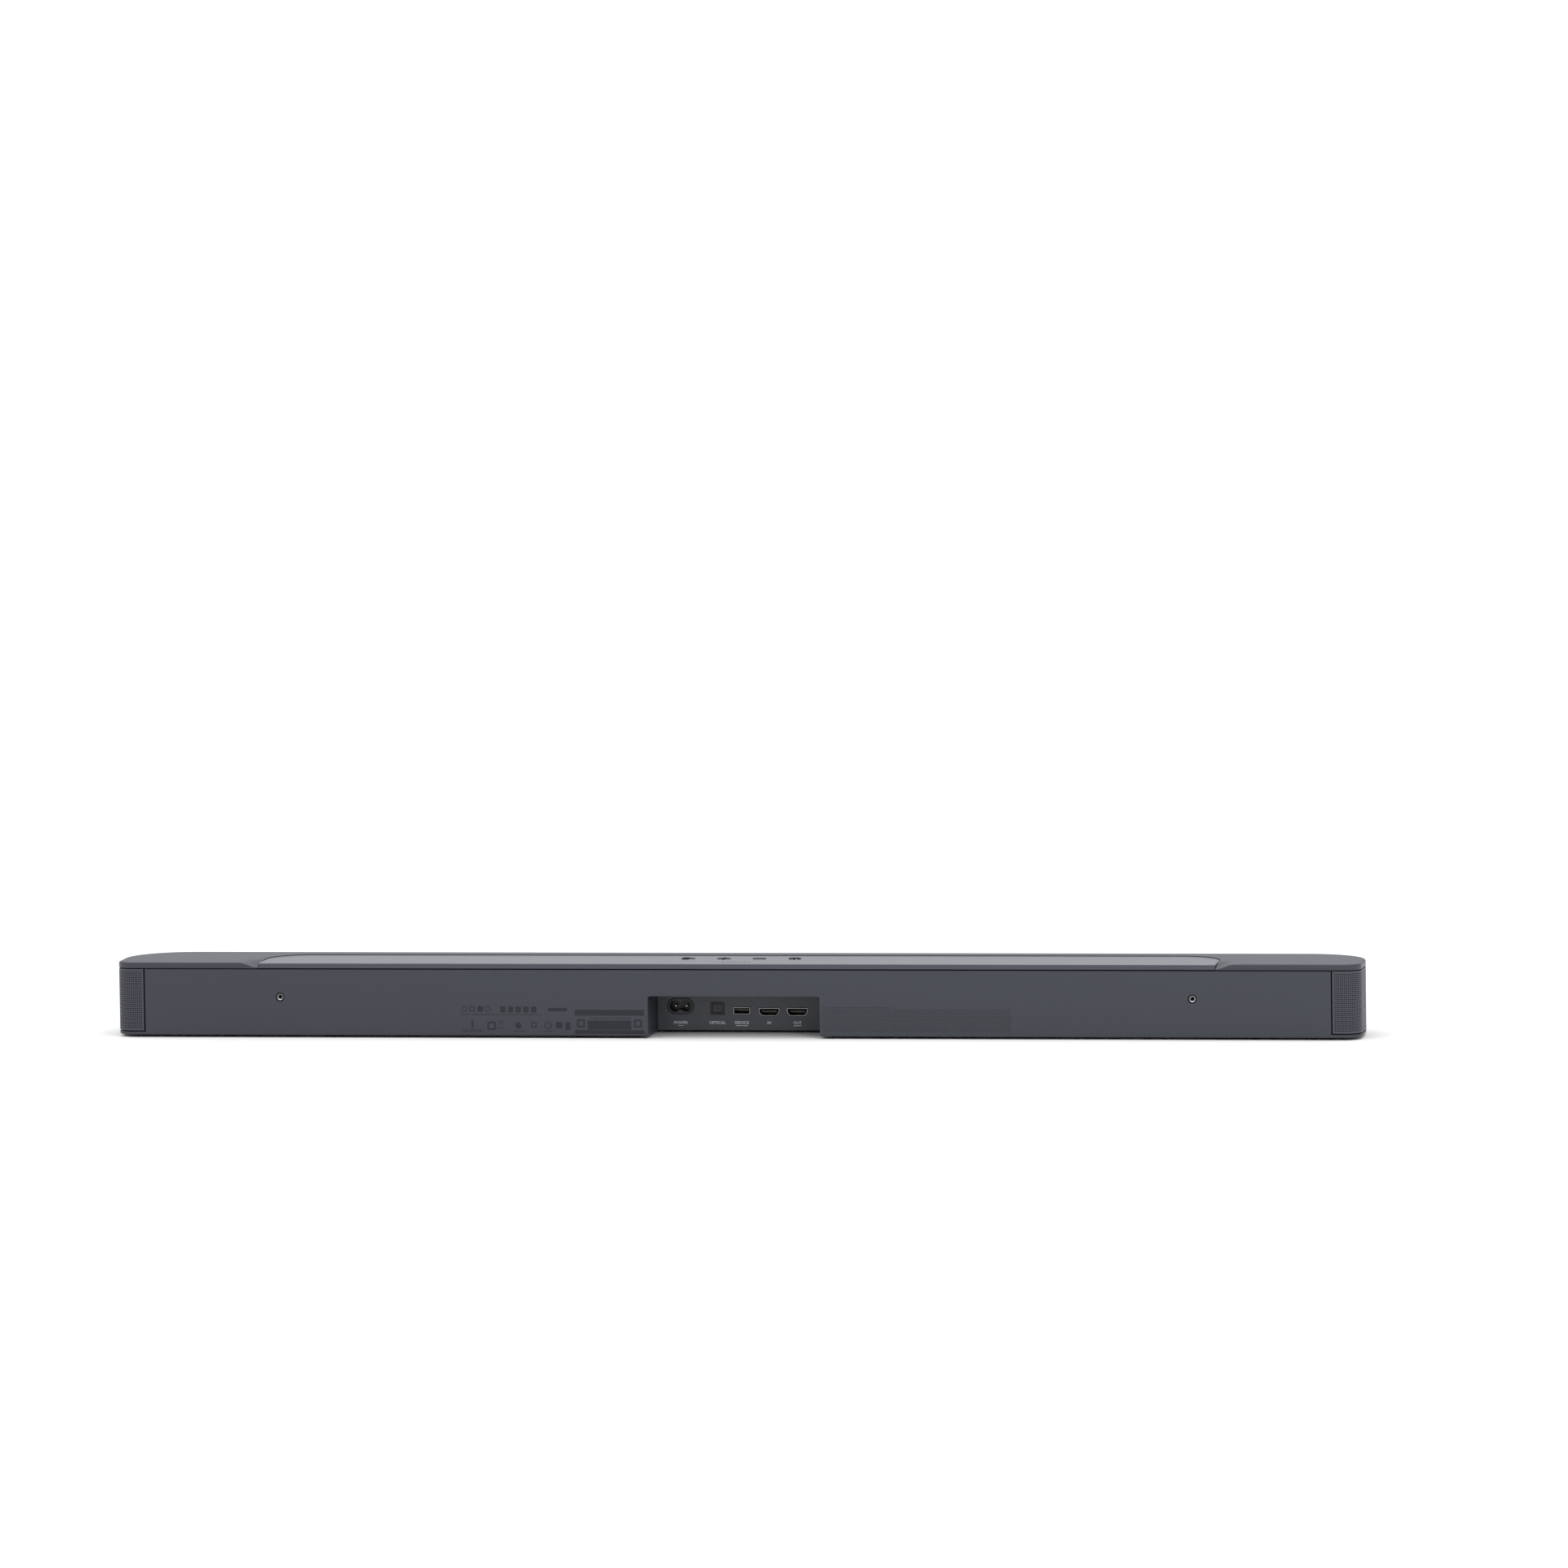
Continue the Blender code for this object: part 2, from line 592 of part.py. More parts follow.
def make_top_cover():
    """The cover: both end caps, the front strip and the ledge that the deck lies on."""
    cover = piece("top_cover", layers(plan_outline(), rounding(COVER_Z, HEIGHT, COVER_ROUNDING)),
                  "shell_plastic")
    scoops = together([scoop_tool(side) for _, side in SIDES])
    reshape(cover, "DIFFERENCE", "scoops", scoops)
    pocket = upright(grown(deck_outline(REAR_Y), GAP), LEDGE_TOP, HEIGHT + WALL)
    reshape(cover, "DIFFERENCE", "pocket", pocket)
    lip_room = DECK_HALF + GAP
    strip = block((-lip_room, REAR_Y - DECK_LIP - GAP, 0), (lip_room, REAR_Y + WALL, HEIGHT + WALL))
    reshape(cover, "DIFFERENCE", "lip_room", strip)
    windows = []
    for place in key_places():
        opening = rectangle(KEY_FLANGE, KEY_FLANGE, (place, 0.0))
        windows.append(upright(grown(opening, KEY_WINDOW_CLEARANCE), COVER_Z - WALL, HEIGHT))
    reshape(cover, "DIFFERENCE", "windows", together(windows))
    embed = COVER_Z + (LEDGE_TOP - COVER_Z) / 2
    posts = [upright(circle(POST_RADIUS, spot, 12), POST_LOW, embed) for spot in screw_spots()]
    for _, side in SIDES:
        hanger = circle(STANDOFF_RADIUS, (side * (button_board_half() - 2 * STANDOFF_RADIUS), 0.0), 12)
        posts.append(upright(hanger, BUTTON_BOARD_TOP + GAP, embed))
    reshape(cover, "UNION", "posts", together(posts))
    pilots = []
    pilot_top = SCREW_HEAD_Z + SCREW_HEAD_HEIGHT + SCREW_LENGTH + 2 * GAP
    for spot in screw_spots():
        pilots.append(upright(circle(SCREW_RADIUS + GAP, spot, 12), POST_LOW - WALL, pilot_top))
    reshape(cover, "DIFFERENCE", "pilots", together(pilots))


def make_top_deck():
    """The inlaid deck with its rear lip and the holes that the key strokes rise through."""
    deck = piece("top_deck", layers(deck_outline(), rounding(DECK_UNDER, DECK_TOP, DECK_ROUNDING)),
                 "deck_plastic")
    lip = block((-DECK_HALF, REAR_Y - DECK_LIP, COVER_Z + GAP),
                (DECK_HALF, REAR_Y, DECK_UNDER + DECK_THICKNESS / 3))
    reshape(deck, "UNION", "lip", lip)
    holes = []
    for (_, kind), place in zip(KEYS, key_places()):
        for outline in icon_outlines(kind):
            shifted = [(place + x, y) for x, y in grown(outline, KEY_CLEARANCE)]
            holes.append(upright(shifted, DECK_UNDER - WALL, DECK_TOP + WALL))
    reshape(deck, "DIFFERENCE", "key_holes", together(holes))


def make_grille():
    """The grille sheet: one wall from the rear seam round both ends and across the front."""
    outer = end_path(0.0, GRILLE_END, 90)
    inner = end_path(GRILLE_THICKNESS, GRILLE_END, 90)
    band = outer + mirrored(outer)
    band += list(reversed(inner + mirrored(inner)))
    piece("wrap_grille", upright(band, FLOOR_TOP + GRILLE_LIFT, WALL_TOP), "grille_metal")


def make_end_frames():
    """The two inner end walls that close the case behind the grille and its rear seams."""
    start = SEAM_X - FRAME_OVERLAP
    outer = end_path(FRAME_INSET, start, FRAME_SWEEP)
    inner = end_path(FRAME_INSET + FRAME_THICKNESS, start, FRAME_SWEEP)
    wall = outer + list(reversed(inner))
    for label, side in SIDES:
        outline = wall if side > 0 else mirrored(wall)
        mesh = upright(outline, FLOOR_TOP + GAP, COVER_Z - GAP)
        piece(f"{label}_end_frame", mesh, "inner_black")


def make_front_baffle():
    """The wall that carries the drive units, pierced for each of them."""
    mesh = block((-BAFFLE_HALF, BAFFLE_FRONT, BAFFLE_LOW), (BAFFLE_HALF, BAFFLE_BACK, BAFFLE_HIGH))
    baffle = piece("front_baffle", mesh, "inner_black")
    neck = grown(racetrack(DRIVER_WIDTH, DRIVER_HEIGHT), GAP - DRIVER_FLANGE)
    cuts = []
    for place in driver_places():
        cuts.append(across(neck, BAFFLE_FRONT - WALL, BAFFLE_BACK + WALL, (place, MID_Z)))
    for _, side in SIDES:
        hole = circle(TWEETER_CHAMBER + GAP)
        cuts.append(across(hole, BAFFLE_FRONT - WALL, BAFFLE_BACK + WALL, (side * TWEETER_X, MID_Z)))
    reshape(baffle, "DIFFERENCE", "unit_holes", together(cuts))


def make_feet():
    """Two rubber pads, sunk into the floor, that the bar stands on."""
    pad = rounded_rectangle(FOOT_LENGTH, FOOT_DEPTH, 0.004)
    for label, side in SIDES:
        outline = [(side * FOOT_X + x, y) for x, y in pad]
        levels = [(0.0, 0.0006), (0.0006, 0.0), (BASE_Z + FOOT_SINK, 0.0)]
        piece(f"{label}_foot", layers(outline, levels), "rubber")


def make_fasteners():
    """The wall-mount inserts in the rear wall and the four case screws in the floor."""
    for label, side in SIDES:
        front = REAR_Y - INSERT_SINK
        back = front - INSERT_LENGTH
        spot = (side * INSERT_X, INSERT_Z)
        outer, bore = circle(INSERT_RADIUS), circle(INSERT_BORE)
        rings = []
        for outline, depth in ((outer, front), (outer, back), (bore, back), (bore, front)):
            rings.append([(spot[0] + u, depth, spot[1] + v) for u, v in outline])
        piece(f"{label}_mount_insert", loft(rings, closed=True), "black_steel")
    low = SCREW_HEAD_Z
    neck = low + SCREW_HEAD_HEIGHT
    tip = neck + SCREW_LENGTH
    head, shank, slot = SCREW_HEAD_RADIUS, SCREW_RADIUS, SCREW_HEAD_RADIUS * 0.35
    profile = [(0, low + slot), (slot, low), (head * 0.8, low), (head, low + 0.0004), (head, neck)]
    profile += [(shank, neck), (shank, tip - shank), (0, tip)]
    for index, (x, y) in enumerate(screw_spots()):
        screw = turned(profile, (x, y, 0), axis_y=False, steps=12)
        piece(f"case_screw_{index + 1}", screw, "zinc_steel")


# ---------------------------------------------------------------- keys
KEYS = (("key_source", "source"), ("key_volume_up", "plus"),
        ("key_volume_down", "minus"), ("key_power", "power"))


def key_places():
    """The keys' X places, in the order of KEYS, from +X to -X."""
    middle = (len(KEYS) - 1) / 2
    return [(middle - index) * KEY_PITCH for index in range(len(KEYS))]


def button_board_half():
    """Half the length of the board under the keys."""
    return key_places()[0] + KEY_FLANGE / 2 + 4 * STANDOFF_RADIUS


def make_keys():
    """Each key is a thin plate under the deck with raised strokes; it travels straight down."""
    for (name, kind), place in zip(KEYS, key_places()):
        plate = rounded_rectangle(KEY_FLANGE, KEY_FLANGE, 0.001, (place, 0.0), 2)
        origin = (place, 0.0, DECK_TOP)
        key = piece(name, upright(plate, KEY_FLANGE_LOW, KEY_FLANGE_TOP), "key_rubber", origin)
        strokes = []
        for outline in icon_outlines(kind):
            low = (KEY_FLANGE_LOW + KEY_FLANGE_TOP) / 2 - DECK_TOP
            levels = [(low, 0.0), (KEY_RISE - KEY_EDGE, 0.0), (KEY_RISE, KEY_EDGE)]
            strokes.append(layers(outline, levels))
        joined = reshape(key, "UNION", "strokes", together(strokes))
        joined.object.location = origin
    half = button_board_half()
    low = BUTTON_BOARD_TOP - BOARD_THICKNESS
    mesh = block((-half, -SWITCH_SIZE * 1.5, low), (half, SWITCH_SIZE * 1.5, BUTTON_BOARD_TOP))
    board = piece("button_board", mesh, "board_green")
    bodies, plungers = [], []
    shoulder = SWITCH_TOP - SWITCH_PLUNGER
    for place in key_places():
        body = rounded_rectangle(SWITCH_SIZE, SWITCH_SIZE, 0.0006, (place, 0.0), 2)
        bodies.append(upright(body, BUTTON_BOARD_TOP - BOARD_THICKNESS / 2, shoulder))
        plunger = circle(SWITCH_SIZE / 4, (place, 0.0), 12)
        plungers.append(upright(plunger, shoulder - SWITCH_PLUNGER, SWITCH_TOP))
    reshape(board, "UNION", "switches", together(bodies))
    reshape(board, "UNION", "plungers", together(plungers))


# ---------------------------------------------------------------- the connector bay
def socket_places():
    """Each port's name, outline and centre in X and Z."""
    return {
        "inlet": (racetrack(INLET_WIDTH, INLET_HEIGHT), (INLET_X, BASE_Z + INLET_LIFT)),
        "optical": (rectangle(OPTICAL_WIDTH, OPTICAL_HEIGHT), (OPTICAL_X, BASE_Z + OPTICAL_LIFT)),
        "service": (rectangle(SERVICE_WIDTH, SERVICE_HEIGHT), (SERVICE_X, BASE_Z + SERVICE_LIFT)),
        "video_in": (video_outline(), (VIDEO_IN_X, BASE_Z + VIDEO_LIFT)),
        "video_out": (video_outline(), (VIDEO_OUT_X, BASE_Z + VIDEO_LIFT)),
    }


def make_port_panel():
    """The plate at the bay's deep end, pierced for every socket."""
    mesh = across(panel_outline(), PANEL_BACK, PANEL_FRONT)
    panel = piece("port_panel", mesh, "bay_plastic")
    cuts = []
    for outline, centre in socket_places().values():
        cuts.append(across(grown(outline, GAP), PANEL_BACK - WALL, PANEL_FRONT + WALL, centre))
    reshape(panel, "DIFFERENCE", "ports", together(cuts))


def make_mains_inlet():
    """The two-pole mains inlet: a barrel for each pole, joined by a waist, and two pins."""
    outline, (x, z) = socket_places()["inlet"]
    inlet = piece("mains_inlet", across(outline, SOCKET_BACK, SOCKET_FRONT, (x, z)), "socket_black")
    floor = SOCKET_BACK + 2 * PANEL_THICKNESS
    half = PIN_SPACING / 2
    swing = math.degrees(math.asin(INLET_WAIST / 2 / INLET_BARREL))
    hollow = arc((half, 0), INLET_BARREL, swing - 180, 180 - swing, 18)
    hollow += arc((-half, 0), INLET_BARREL, swing, 360 - swing, 18)
    reshape(inlet, "DIFFERENCE", "barrels", across(hollow, floor, SOCKET_FRONT + WALL, (x, z)))
    for label, side in SIDES:
        back = floor + GAP
        tip = back + PIN_LENGTH
        centre = (x + side * half, 0, z)
        profile = [(0, back), (PIN_RADIUS, back), (PIN_RADIUS, tip - 0.0008)]
        profile += [(PIN_RADIUS * 0.6, tip - 0.0001), (0, tip)]
        piece(f"inlet_pin_{label}", turned(profile, centre, steps=12), "plated_steel")


def make_optical_socket():
    """The optical socket and its dust shutter, which swings in and up about its top edge."""
    outline, (x, z) = socket_places()["optical"]
    socket = piece("optical_socket", across(outline, SOCKET_BACK, SOCKET_FRONT, (x, z)),
                   "socket_black")
    mouth = grown(outline, -OPTICAL_WALL)
    floor = SOCKET_BACK + 2 * OPTICAL_WALL
    reshape(socket, "DIFFERENCE", "mouth", across(mouth, floor, SOCKET_FRONT + WALL, (x, z)))
    radius = SHUTTER_THICKNESS / 2
    axis_y = SOCKET_FRONT - SHUTTER_INSET - radius
    axis_z = z + OPTICAL_HEIGHT / 2 - OPTICAL_WALL - GAP - radius
    foot = z - OPTICAL_HEIGHT / 2 + OPTICAL_WALL + GAP
    profile = arc((0, 0), radius, 0, 180, 6)
    profile += [(-radius, foot - axis_z), (radius, foot - axis_z)]
    half = OPTICAL_WIDTH / 2 - OPTICAL_WALL - GAP
    rings = [[(x + side, axis_y + u, axis_z + v) for u, v in profile] for side in (-half, half)]
    piece("optical_shutter", loft(rings), "socket_black", (x, axis_y, axis_z))


def make_shell_socket(name, finish, tongue_width, tongue_z):
    """A plated shell open at the front, with a contact tongue inside it."""
    outline, (x, z) = socket_places()[name]
    shell = piece(f"{name}_socket", across(outline, SOCKET_BACK, SOCKET_FRONT, (x, z)), finish)
    inner = grown(outline, -SHELL_WALL)
    floor = SOCKET_BACK + 2 * SHELL_WALL
    reshape(shell, "DIFFERENCE", "mouth", across(inner, floor, SOCKET_FRONT + WALL, (x, z)))
    plate = rectangle(tongue_width, TONGUE_THICKNESS)
    back, front = floor + GAP, SOCKET_FRONT - 2 * PANEL_THICKNESS / 3
    piece(f"{name}_tongue", across(plate, back, front, (x, z + tongue_z)), "socket_black")


# ---------------------------------------------------------------- drive units
def driver_places():
    """The four wide drivers' X places, from +X to -X."""
    return [OUTER_DRIVER_X, INNER_DRIVER_X, -INNER_DRIVER_X, -OUTER_DRIVER_X]


def make_driver(number, place):
    """One wide driver: basket, motor, cone with its voice coil, and rolled surround."""
    centre = (place, MID_Z)
    wide, high = DRIVER_WIDTH, DRIVER_HEIGHT
    neck = 2 * DRIVER_FLANGE
    mouth = neck + 2 * BASKET_WALL
    back_w, back_h, wall = BASKET_BACK_WIDTH, BASKET_BACK_HEIGHT, 2 * BASKET_WALL
    profile = [(wide, high, FLANGE_FRONT), (wide, high, FLANGE_BACK)]
    profile += [(wide - neck, high - neck, FLANGE_BACK), (back_w, back_h, BASKET_BACK)]
    profile += [(back_w - wall, back_h - wall, BASKET_BACK)]
    profile += [(wide - mouth, high - mouth, FLANGE_BACK), (wide - mouth, high - mouth, FLANGE_FRONT)]
    basket = loft(racetrack_rings(profile, centre), closed=True)
    piece(f"driver_{number}_basket", basket, "inner_black")

    front = BASKET_BACK + GAP
    back = front + MOTOR_LENGTH
    plate = MOTOR_LENGTH / 4
    groove_in = COIL_RADIUS - COIL_WALL - COIL_CLEARANCE
    groove_out = COIL_RADIUS + COIL_WALL + COIL_CLEARANCE
    groove_floor = back - plate
    slim = MOTOR_RADIUS - 0.0012
    profile = [(0, front), (groove_in, front), (groove_in, groove_floor), (groove_out, groove_floor)]
    profile += [(groove_out, front), (MOTOR_RADIUS, front), (MOTOR_RADIUS, front + plate)]
    profile += [(slim, front + plate), (slim, back - plate), (MOTOR_RADIUS, back - plate)]
    profile += [(MOTOR_RADIUS, back), (0, back)]
    piece(f"driver_{number}_motor", turned(profile, (place, 0, MID_Z)), "ferrite")

    rim_w, rim_h = wide - mouth - 2 * CONE_MARGIN, high - mouth - 2 * CONE_MARGIN
    rim_y = FLANGE_FRONT - GAP
    coil_out, coil_in = 2 * (COIL_RADIUS + COIL_WALL), 2 * (COIL_RADIUS - COIL_WALL)
    throat = rim_y + 0.0095
    coil_end = throat + COIL_LENGTH
    profile = [(0, 0, throat - 0.0032)]
    profile += [(coil_out * 0.55, coil_out * 0.55, throat - 0.0026)]
    profile += [(coil_out * 0.9, coil_out * 0.9, throat - 0.0012), (coil_out, coil_out, throat - 0.0002)]
    profile += [(rim_w, rim_h, rim_y), (rim_w, rim_h, rim_y + CONE_THICKNESS)]
    profile += [(coil_out, coil_out, throat + CONE_THICKNESS), (coil_out, coil_out, coil_end)]
    profile += [(coil_in, coil_in, coil_end), (coil_in, coil_in, throat)]
    profile += [(coil_in * 0.5, coil_in * 0.5, throat - 0.0018), (0, 0, throat - 0.0024)]
    cone = loft(racetrack_rings(profile, centre))
    piece(f"driver_{number}_cone", cone, "paper_cone", (place, rim_y, MID_Z))

    base = rim_y - GAP
    profile = []
    skins = ((ROLL_RADIUS, range(0, 181, 45)), (ROLL_RADIUS - ROLL_THICKNESS, range(180, -1, -45)))
    for radius, angles in skins:
        for angle in angles:
            turn = math.radians(angle)
            spread = 2 * (GAP + ROLL_RADIUS - radius * math.cos(turn))
            profile.append((rim_w + spread, rim_h + spread, base - radius * math.sin(turn)))
    roll = loft(racetrack_rings(profile, centre), closed=True)
    piece(f"driver_{number}_surround", roll, "rubber")


def make_tweeter(label, place):
    """One dome tweeter: face plate and chamber in one body, and the dome that moves in it."""
    well = DOME_RADIUS + 2 * GAP
    floor = FLANGE_BACK + 2 * COIL_CLEARANCE + DOME_HEIGHT / 2
    back = FLANGE_BACK + TWEETER_DEPTH
    profile = [(0, floor), (well, floor), (well, FLANGE_FRONT + 0.0012), (well + 0.0010, FLANGE_FRONT)]
    profile += [(TWEETER_RADIUS, FLANGE_FRONT), (TWEETER_RADIUS, FLANGE_BACK)]
    profile += [(TWEETER_CHAMBER, FLANGE_BACK), (TWEETER_CHAMBER, back), (0, back)]
    piece(f"{label}_tweeter_body", turned(profile, (place, 0, MID_Z)), "inner_black")
    edge = floor - 2 * COIL_CLEARANCE
    skin = 0.0005
    profile = []
    for step in range(0, 4):
        share = step / 3
        profile.append((DOME_RADIUS * share, edge - skin - DOME_HEIGHT * (1 - share * share)))
    for step in range(3, -1, -1):
        share = step / 3
        profile.append((DOME_RADIUS * share, edge - DOME_HEIGHT * (1 - share * share)))
    dome = turned(profile, (place, 0, MID_Z))
    piece(f"{label}_tweeter_dome", dome, "silk_dome", (place, edge, MID_Z))


# ---------------------------------------------------------------- electronics
def make_main_board():
    """The board behind the port panel that the signal sockets stand on."""
    reach = BAY_HALF - 0.0050
    right = OPTICAL_X + OPTICAL_WIDTH
    top = BASE_Z + VIDEO_LIFT - VIDEO_HEIGHT / 2 - GAP
    low = (-reach, BAFFLE_BACK + GAP * 3, top - BOARD_THICKNESS)
    piece("main_board", block(low, (right, PANEL_BACK - GAP * 3, top)), "board_green")


def make_power_and_amplifier():
    """The power board with transformer and capacitor, and the amplifier board with its sink."""
    half = BOARD_LENGTH / 2
    top = BOARD_Z + BOARD_THICKNESS
    for name, side in (("power_board", 1), ("amplifier_board", -1)):
        x = side * BOARD_X
        low = (x - half, BOARD_FRONT, BOARD_Z)
        piece(name, block(low, (x + half, BOARD_REAR, top)), "board_green")
    seat = top + GAP
    core_x, core_y = BOARD_X - half * 0.35, BOARD_Y
    core = block((core_x - 0.014, core_y - 0.012, seat), (core_x + 0.014, core_y + 0.012, seat + 0.024))
    transformer = piece("transformer", core, "ferrite")
    windings = rounded_rectangle(0.020, 0.032, 0.004, (core_x, core_y))
    reshape(transformer, "UNION", "windings", upright(windings, seat + 0.004, seat + 0.020))
    can = [(0, seat), (0.0085, seat), (0.009, seat + 0.0005), (0.009, seat + 0.0270)]
    can += [(0.0085, seat + 0.0275), (0.007, seat + 0.0275), (0, seat + 0.0270)]
    centre = (BOARD_X + half * 0.5, BOARD_Y, 0)
    piece("bulk_capacitor", turned(can, centre, axis_y=False, steps=20), "capacitor_sleeve")
    fins, pitch, thick = 6, 0.0060, 0.0018
    base = seat + 0.004
    tip = base + 0.020
    start = BOARD_Y - pitch * (fins - 1) / 2
    comb = [(start - thick, seat), (start + pitch * (fins - 1) + thick, seat)]
    for index in range(fins - 1, -1, -1):
        right, left = start + pitch * index + thick / 2, start + pitch * index - thick / 2
        comb += [(right, base), (right, tip), (left, tip), (left, base)]
    comb[2] = (start + pitch * (fins - 1) + thick, base)
    comb.insert(3, (start + pitch * (fins - 1) + thick / 2, base))
    comb.append((start - thick, base))
    x = -BOARD_X
    rings = [[(x + end, y, z) for y, z in comb] for end in (-0.026, 0.026)]
    piece("heat_sink", loft(rings), "aluminium")


def make_display():
    """The read-out behind the grille: a small board on the baffle and its smoked lens."""
    half_w, half_h = DISPLAY_WIDTH / 2, DISPLAY_HEIGHT / 2
    x = -BOARD_X
    back = BAFFLE_FRONT - GAP
    front = back - BOARD_THICKNESS
    mesh = block((x - half_w, front, MID_Z - half_h), (x + half_w, back, MID_Z + half_h))
    piece("display_board", mesh, "board_green")
    lens_w, lens_h = DISPLAY_WIDTH - 2 * DISPLAY_LENS_MARGIN, DISPLAY_HEIGHT - 2 * DISPLAY_LENS_MARGIN
    outline = rounded_rectangle(lens_w, lens_h, 0.0015)
    lens = across(outline, front - GAP - DISPLAY_LENS_THICKNESS, front - GAP, (x, MID_Z))
    piece("display_lens", lens, "smoked_lens")


def main():
    """Build every piece, from the case inwards."""
    clear_scene()
    make_rear_housing()
    make_top_cover()
    make_top_deck()
    make_grille()
    make_end_frames()
    make_front_baffle()
    make_feet()
    make_fasteners()
    make_keys()
    make_port_panel()
    make_mains_inlet()
    make_optical_socket()
    make_shell_socket("service", "plated_steel", 0.0108, 0.0010)
    make_shell_socket("video_in", "plated_steel", 0.0116, 0.0004)
    make_shell_socket("video_out", "plated_steel", 0.0116, 0.0004)
    for number, place in enumerate(driver_places(), start=1):
        make_driver(number, place)
    for label, side in SIDES:
        make_tweeter(label, side * TWEETER_X)
    make_main_board()
    make_power_and_amplifier()
    make_display()


main()
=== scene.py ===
"""Looks for a long low soundbar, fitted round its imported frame.

Metres, +Z up.  The listening side faces -Y, the connector bay opens towards +Y and downwards,
and the bar runs along X.  Outlines are (n, 2) arrays, anticlockwise.
"""

import logging
import math
from collections.abc import Iterable, Sequence
from dataclasses import dataclass, field
from enum import Enum
from typing import Any

import bmesh
import bpy
import numpy as np
from mathutils import Matrix, Vector
from mathutils.geometry import tessellate_polygon


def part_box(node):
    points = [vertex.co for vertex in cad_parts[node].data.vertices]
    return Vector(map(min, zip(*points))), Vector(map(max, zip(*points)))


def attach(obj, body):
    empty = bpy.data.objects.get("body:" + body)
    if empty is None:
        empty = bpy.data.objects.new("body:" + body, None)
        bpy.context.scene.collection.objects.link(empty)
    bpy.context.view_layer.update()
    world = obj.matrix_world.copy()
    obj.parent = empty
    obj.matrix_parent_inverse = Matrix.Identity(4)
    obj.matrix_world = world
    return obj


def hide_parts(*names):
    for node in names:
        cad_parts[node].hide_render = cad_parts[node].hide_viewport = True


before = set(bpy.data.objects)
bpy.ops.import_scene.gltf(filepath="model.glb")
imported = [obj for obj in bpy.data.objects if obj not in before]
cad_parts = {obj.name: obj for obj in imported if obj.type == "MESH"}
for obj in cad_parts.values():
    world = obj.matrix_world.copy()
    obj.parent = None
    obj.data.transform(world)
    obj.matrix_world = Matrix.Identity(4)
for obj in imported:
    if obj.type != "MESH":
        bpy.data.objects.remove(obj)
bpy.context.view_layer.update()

LOG = logging.getLogger("soundbar")
Array = np.ndarray
Colour = tuple[float, float, float]
Table = tuple[tuple[Any, ...], ...]
SIDES = (("left", 1), ("right", -1))
DRIVERS = (1, 2, 3, 4)
KEY_NODES = ("key_source", "key_volume_up", "key_volume_down", "key_power")
SCREW_NODES = tuple(f"case_screw_{number}" for number in range(1, 5))
GAP = 0.0003
FINE_EDGE = 0.0001
MERGE = 2e-6
TINY = 1e-9


# ---------------------------------------------------------------- outlines
def arc(centre: Sequence[float], radius: float, start: float, end: float, steps: int) -> Array:
    """Points centre + radius (cos a, sin a) for a from start to end degrees, both ends kept.

    Args:
        centre: Middle of the circle, (u, v).
        radius: Radius of the circle.
        start: First angle, in degrees.
        end: Last angle, in degrees.
        steps: Number of chords.

    Returns:
        An (steps + 1, 2) array.
    """
    angle = np.radians(np.linspace(start, end, steps + 1))
    return np.asarray(centre) + radius * np.stack([np.cos(angle), np.sin(angle)], axis=-1)


def circle(radius: float, centre: Sequence[float] = (0.0, 0.0), steps: int = 32) -> Array:
    """A closed ring of steps points at one radius about centre."""
    return arc(centre, radius, 0, 360 - 360 / steps, steps - 1)


def rounded_box(width: float, height: float, radius: float,
                centre: Sequence[float] = (0.0, 0.0), steps: int = 5) -> Array:
    """A rectangle whose corners are quarter arcs: four arcs about the inset corners.

    Args:
        width: Size along u.
        height: Size along v.
        radius: Corner radius; zero keeps square corners.
        centre: Middle of the rectangle.
        steps: Chords in each corner.

    Returns:
        The outline's points.
    """
    middle = np.asarray(centre, float)
    half = np.array([width / 2 - radius, height / 2 - radius])
    signs = ((1, 1), (-1, 1), (-1, -1), (1, -1))
    if radius <= 0:
        return np.stack([middle + half * sign for sign in signs])
    return np.concatenate([arc(middle + half * sign, radius, 90 * turn, 90 * turn + 90, steps)
                           for turn, sign in enumerate(signs)])


def racetrack(width: Array | float, height: Array | float, steps: int = 24) -> Array:
    """Two half circles joined by straight sides: (side * reach + r cos a, r sin a).

    Args:
        width: Overall width, or an array of them for a stack of rings.
        height: Overall height, or an array of them.
        steps: Chords in each half circle.

    Returns:
        Points, with the rings along the first axis where arrays came in.
    """
    half = np.radians(np.linspace(-90, 90, steps + 1))
    angle = np.concatenate([half, half + math.pi])
    side = np.repeat([1.0, -1.0], steps + 1)
    width, height = np.asarray(width)[..., None], np.asarray(height)[..., None]
    u = side * (width - height) / 2 + height / 2 * np.cos(angle)
    return np.stack(np.broadcast_arrays(u, height / 2 * np.sin(angle)), axis=-1)


def offset(outline: Array, distance: float) -> Array:
    """The outline moved outwards: each corner goes along its mitre by (n1 + n2) / (1 + n1.n2).

    Args:
        outline: Closed loop of points.
        distance: How far outwards; a negative one goes inwards.

    Returns:
        As many points, moved.
    """
    edge = np.roll(outline, -1, axis=0) - outline
    edge = edge / np.linalg.norm(edge, axis=1, keepdims=True)
    normal = np.stack([edge[:, 1], -edge[:, 0]], axis=-1)
    before = np.roll(normal, 1, axis=0)
    scale = 1 + np.sum(normal * before, axis=1, keepdims=True)
    return outline + distance * (normal + before) / scale


def cross(reach: float, half: float) -> Array:
    """A plus sign about the origin: arms as long as reach and twice half wide."""
    a, w = reach, half
    return np.array([(-a, -w), (-w, -w), (-w, -a), (w, -a), (w, -w), (a, -w),
                     (a, w), (w, w), (w, a), (-w, a), (-w, w), (-a, w)])


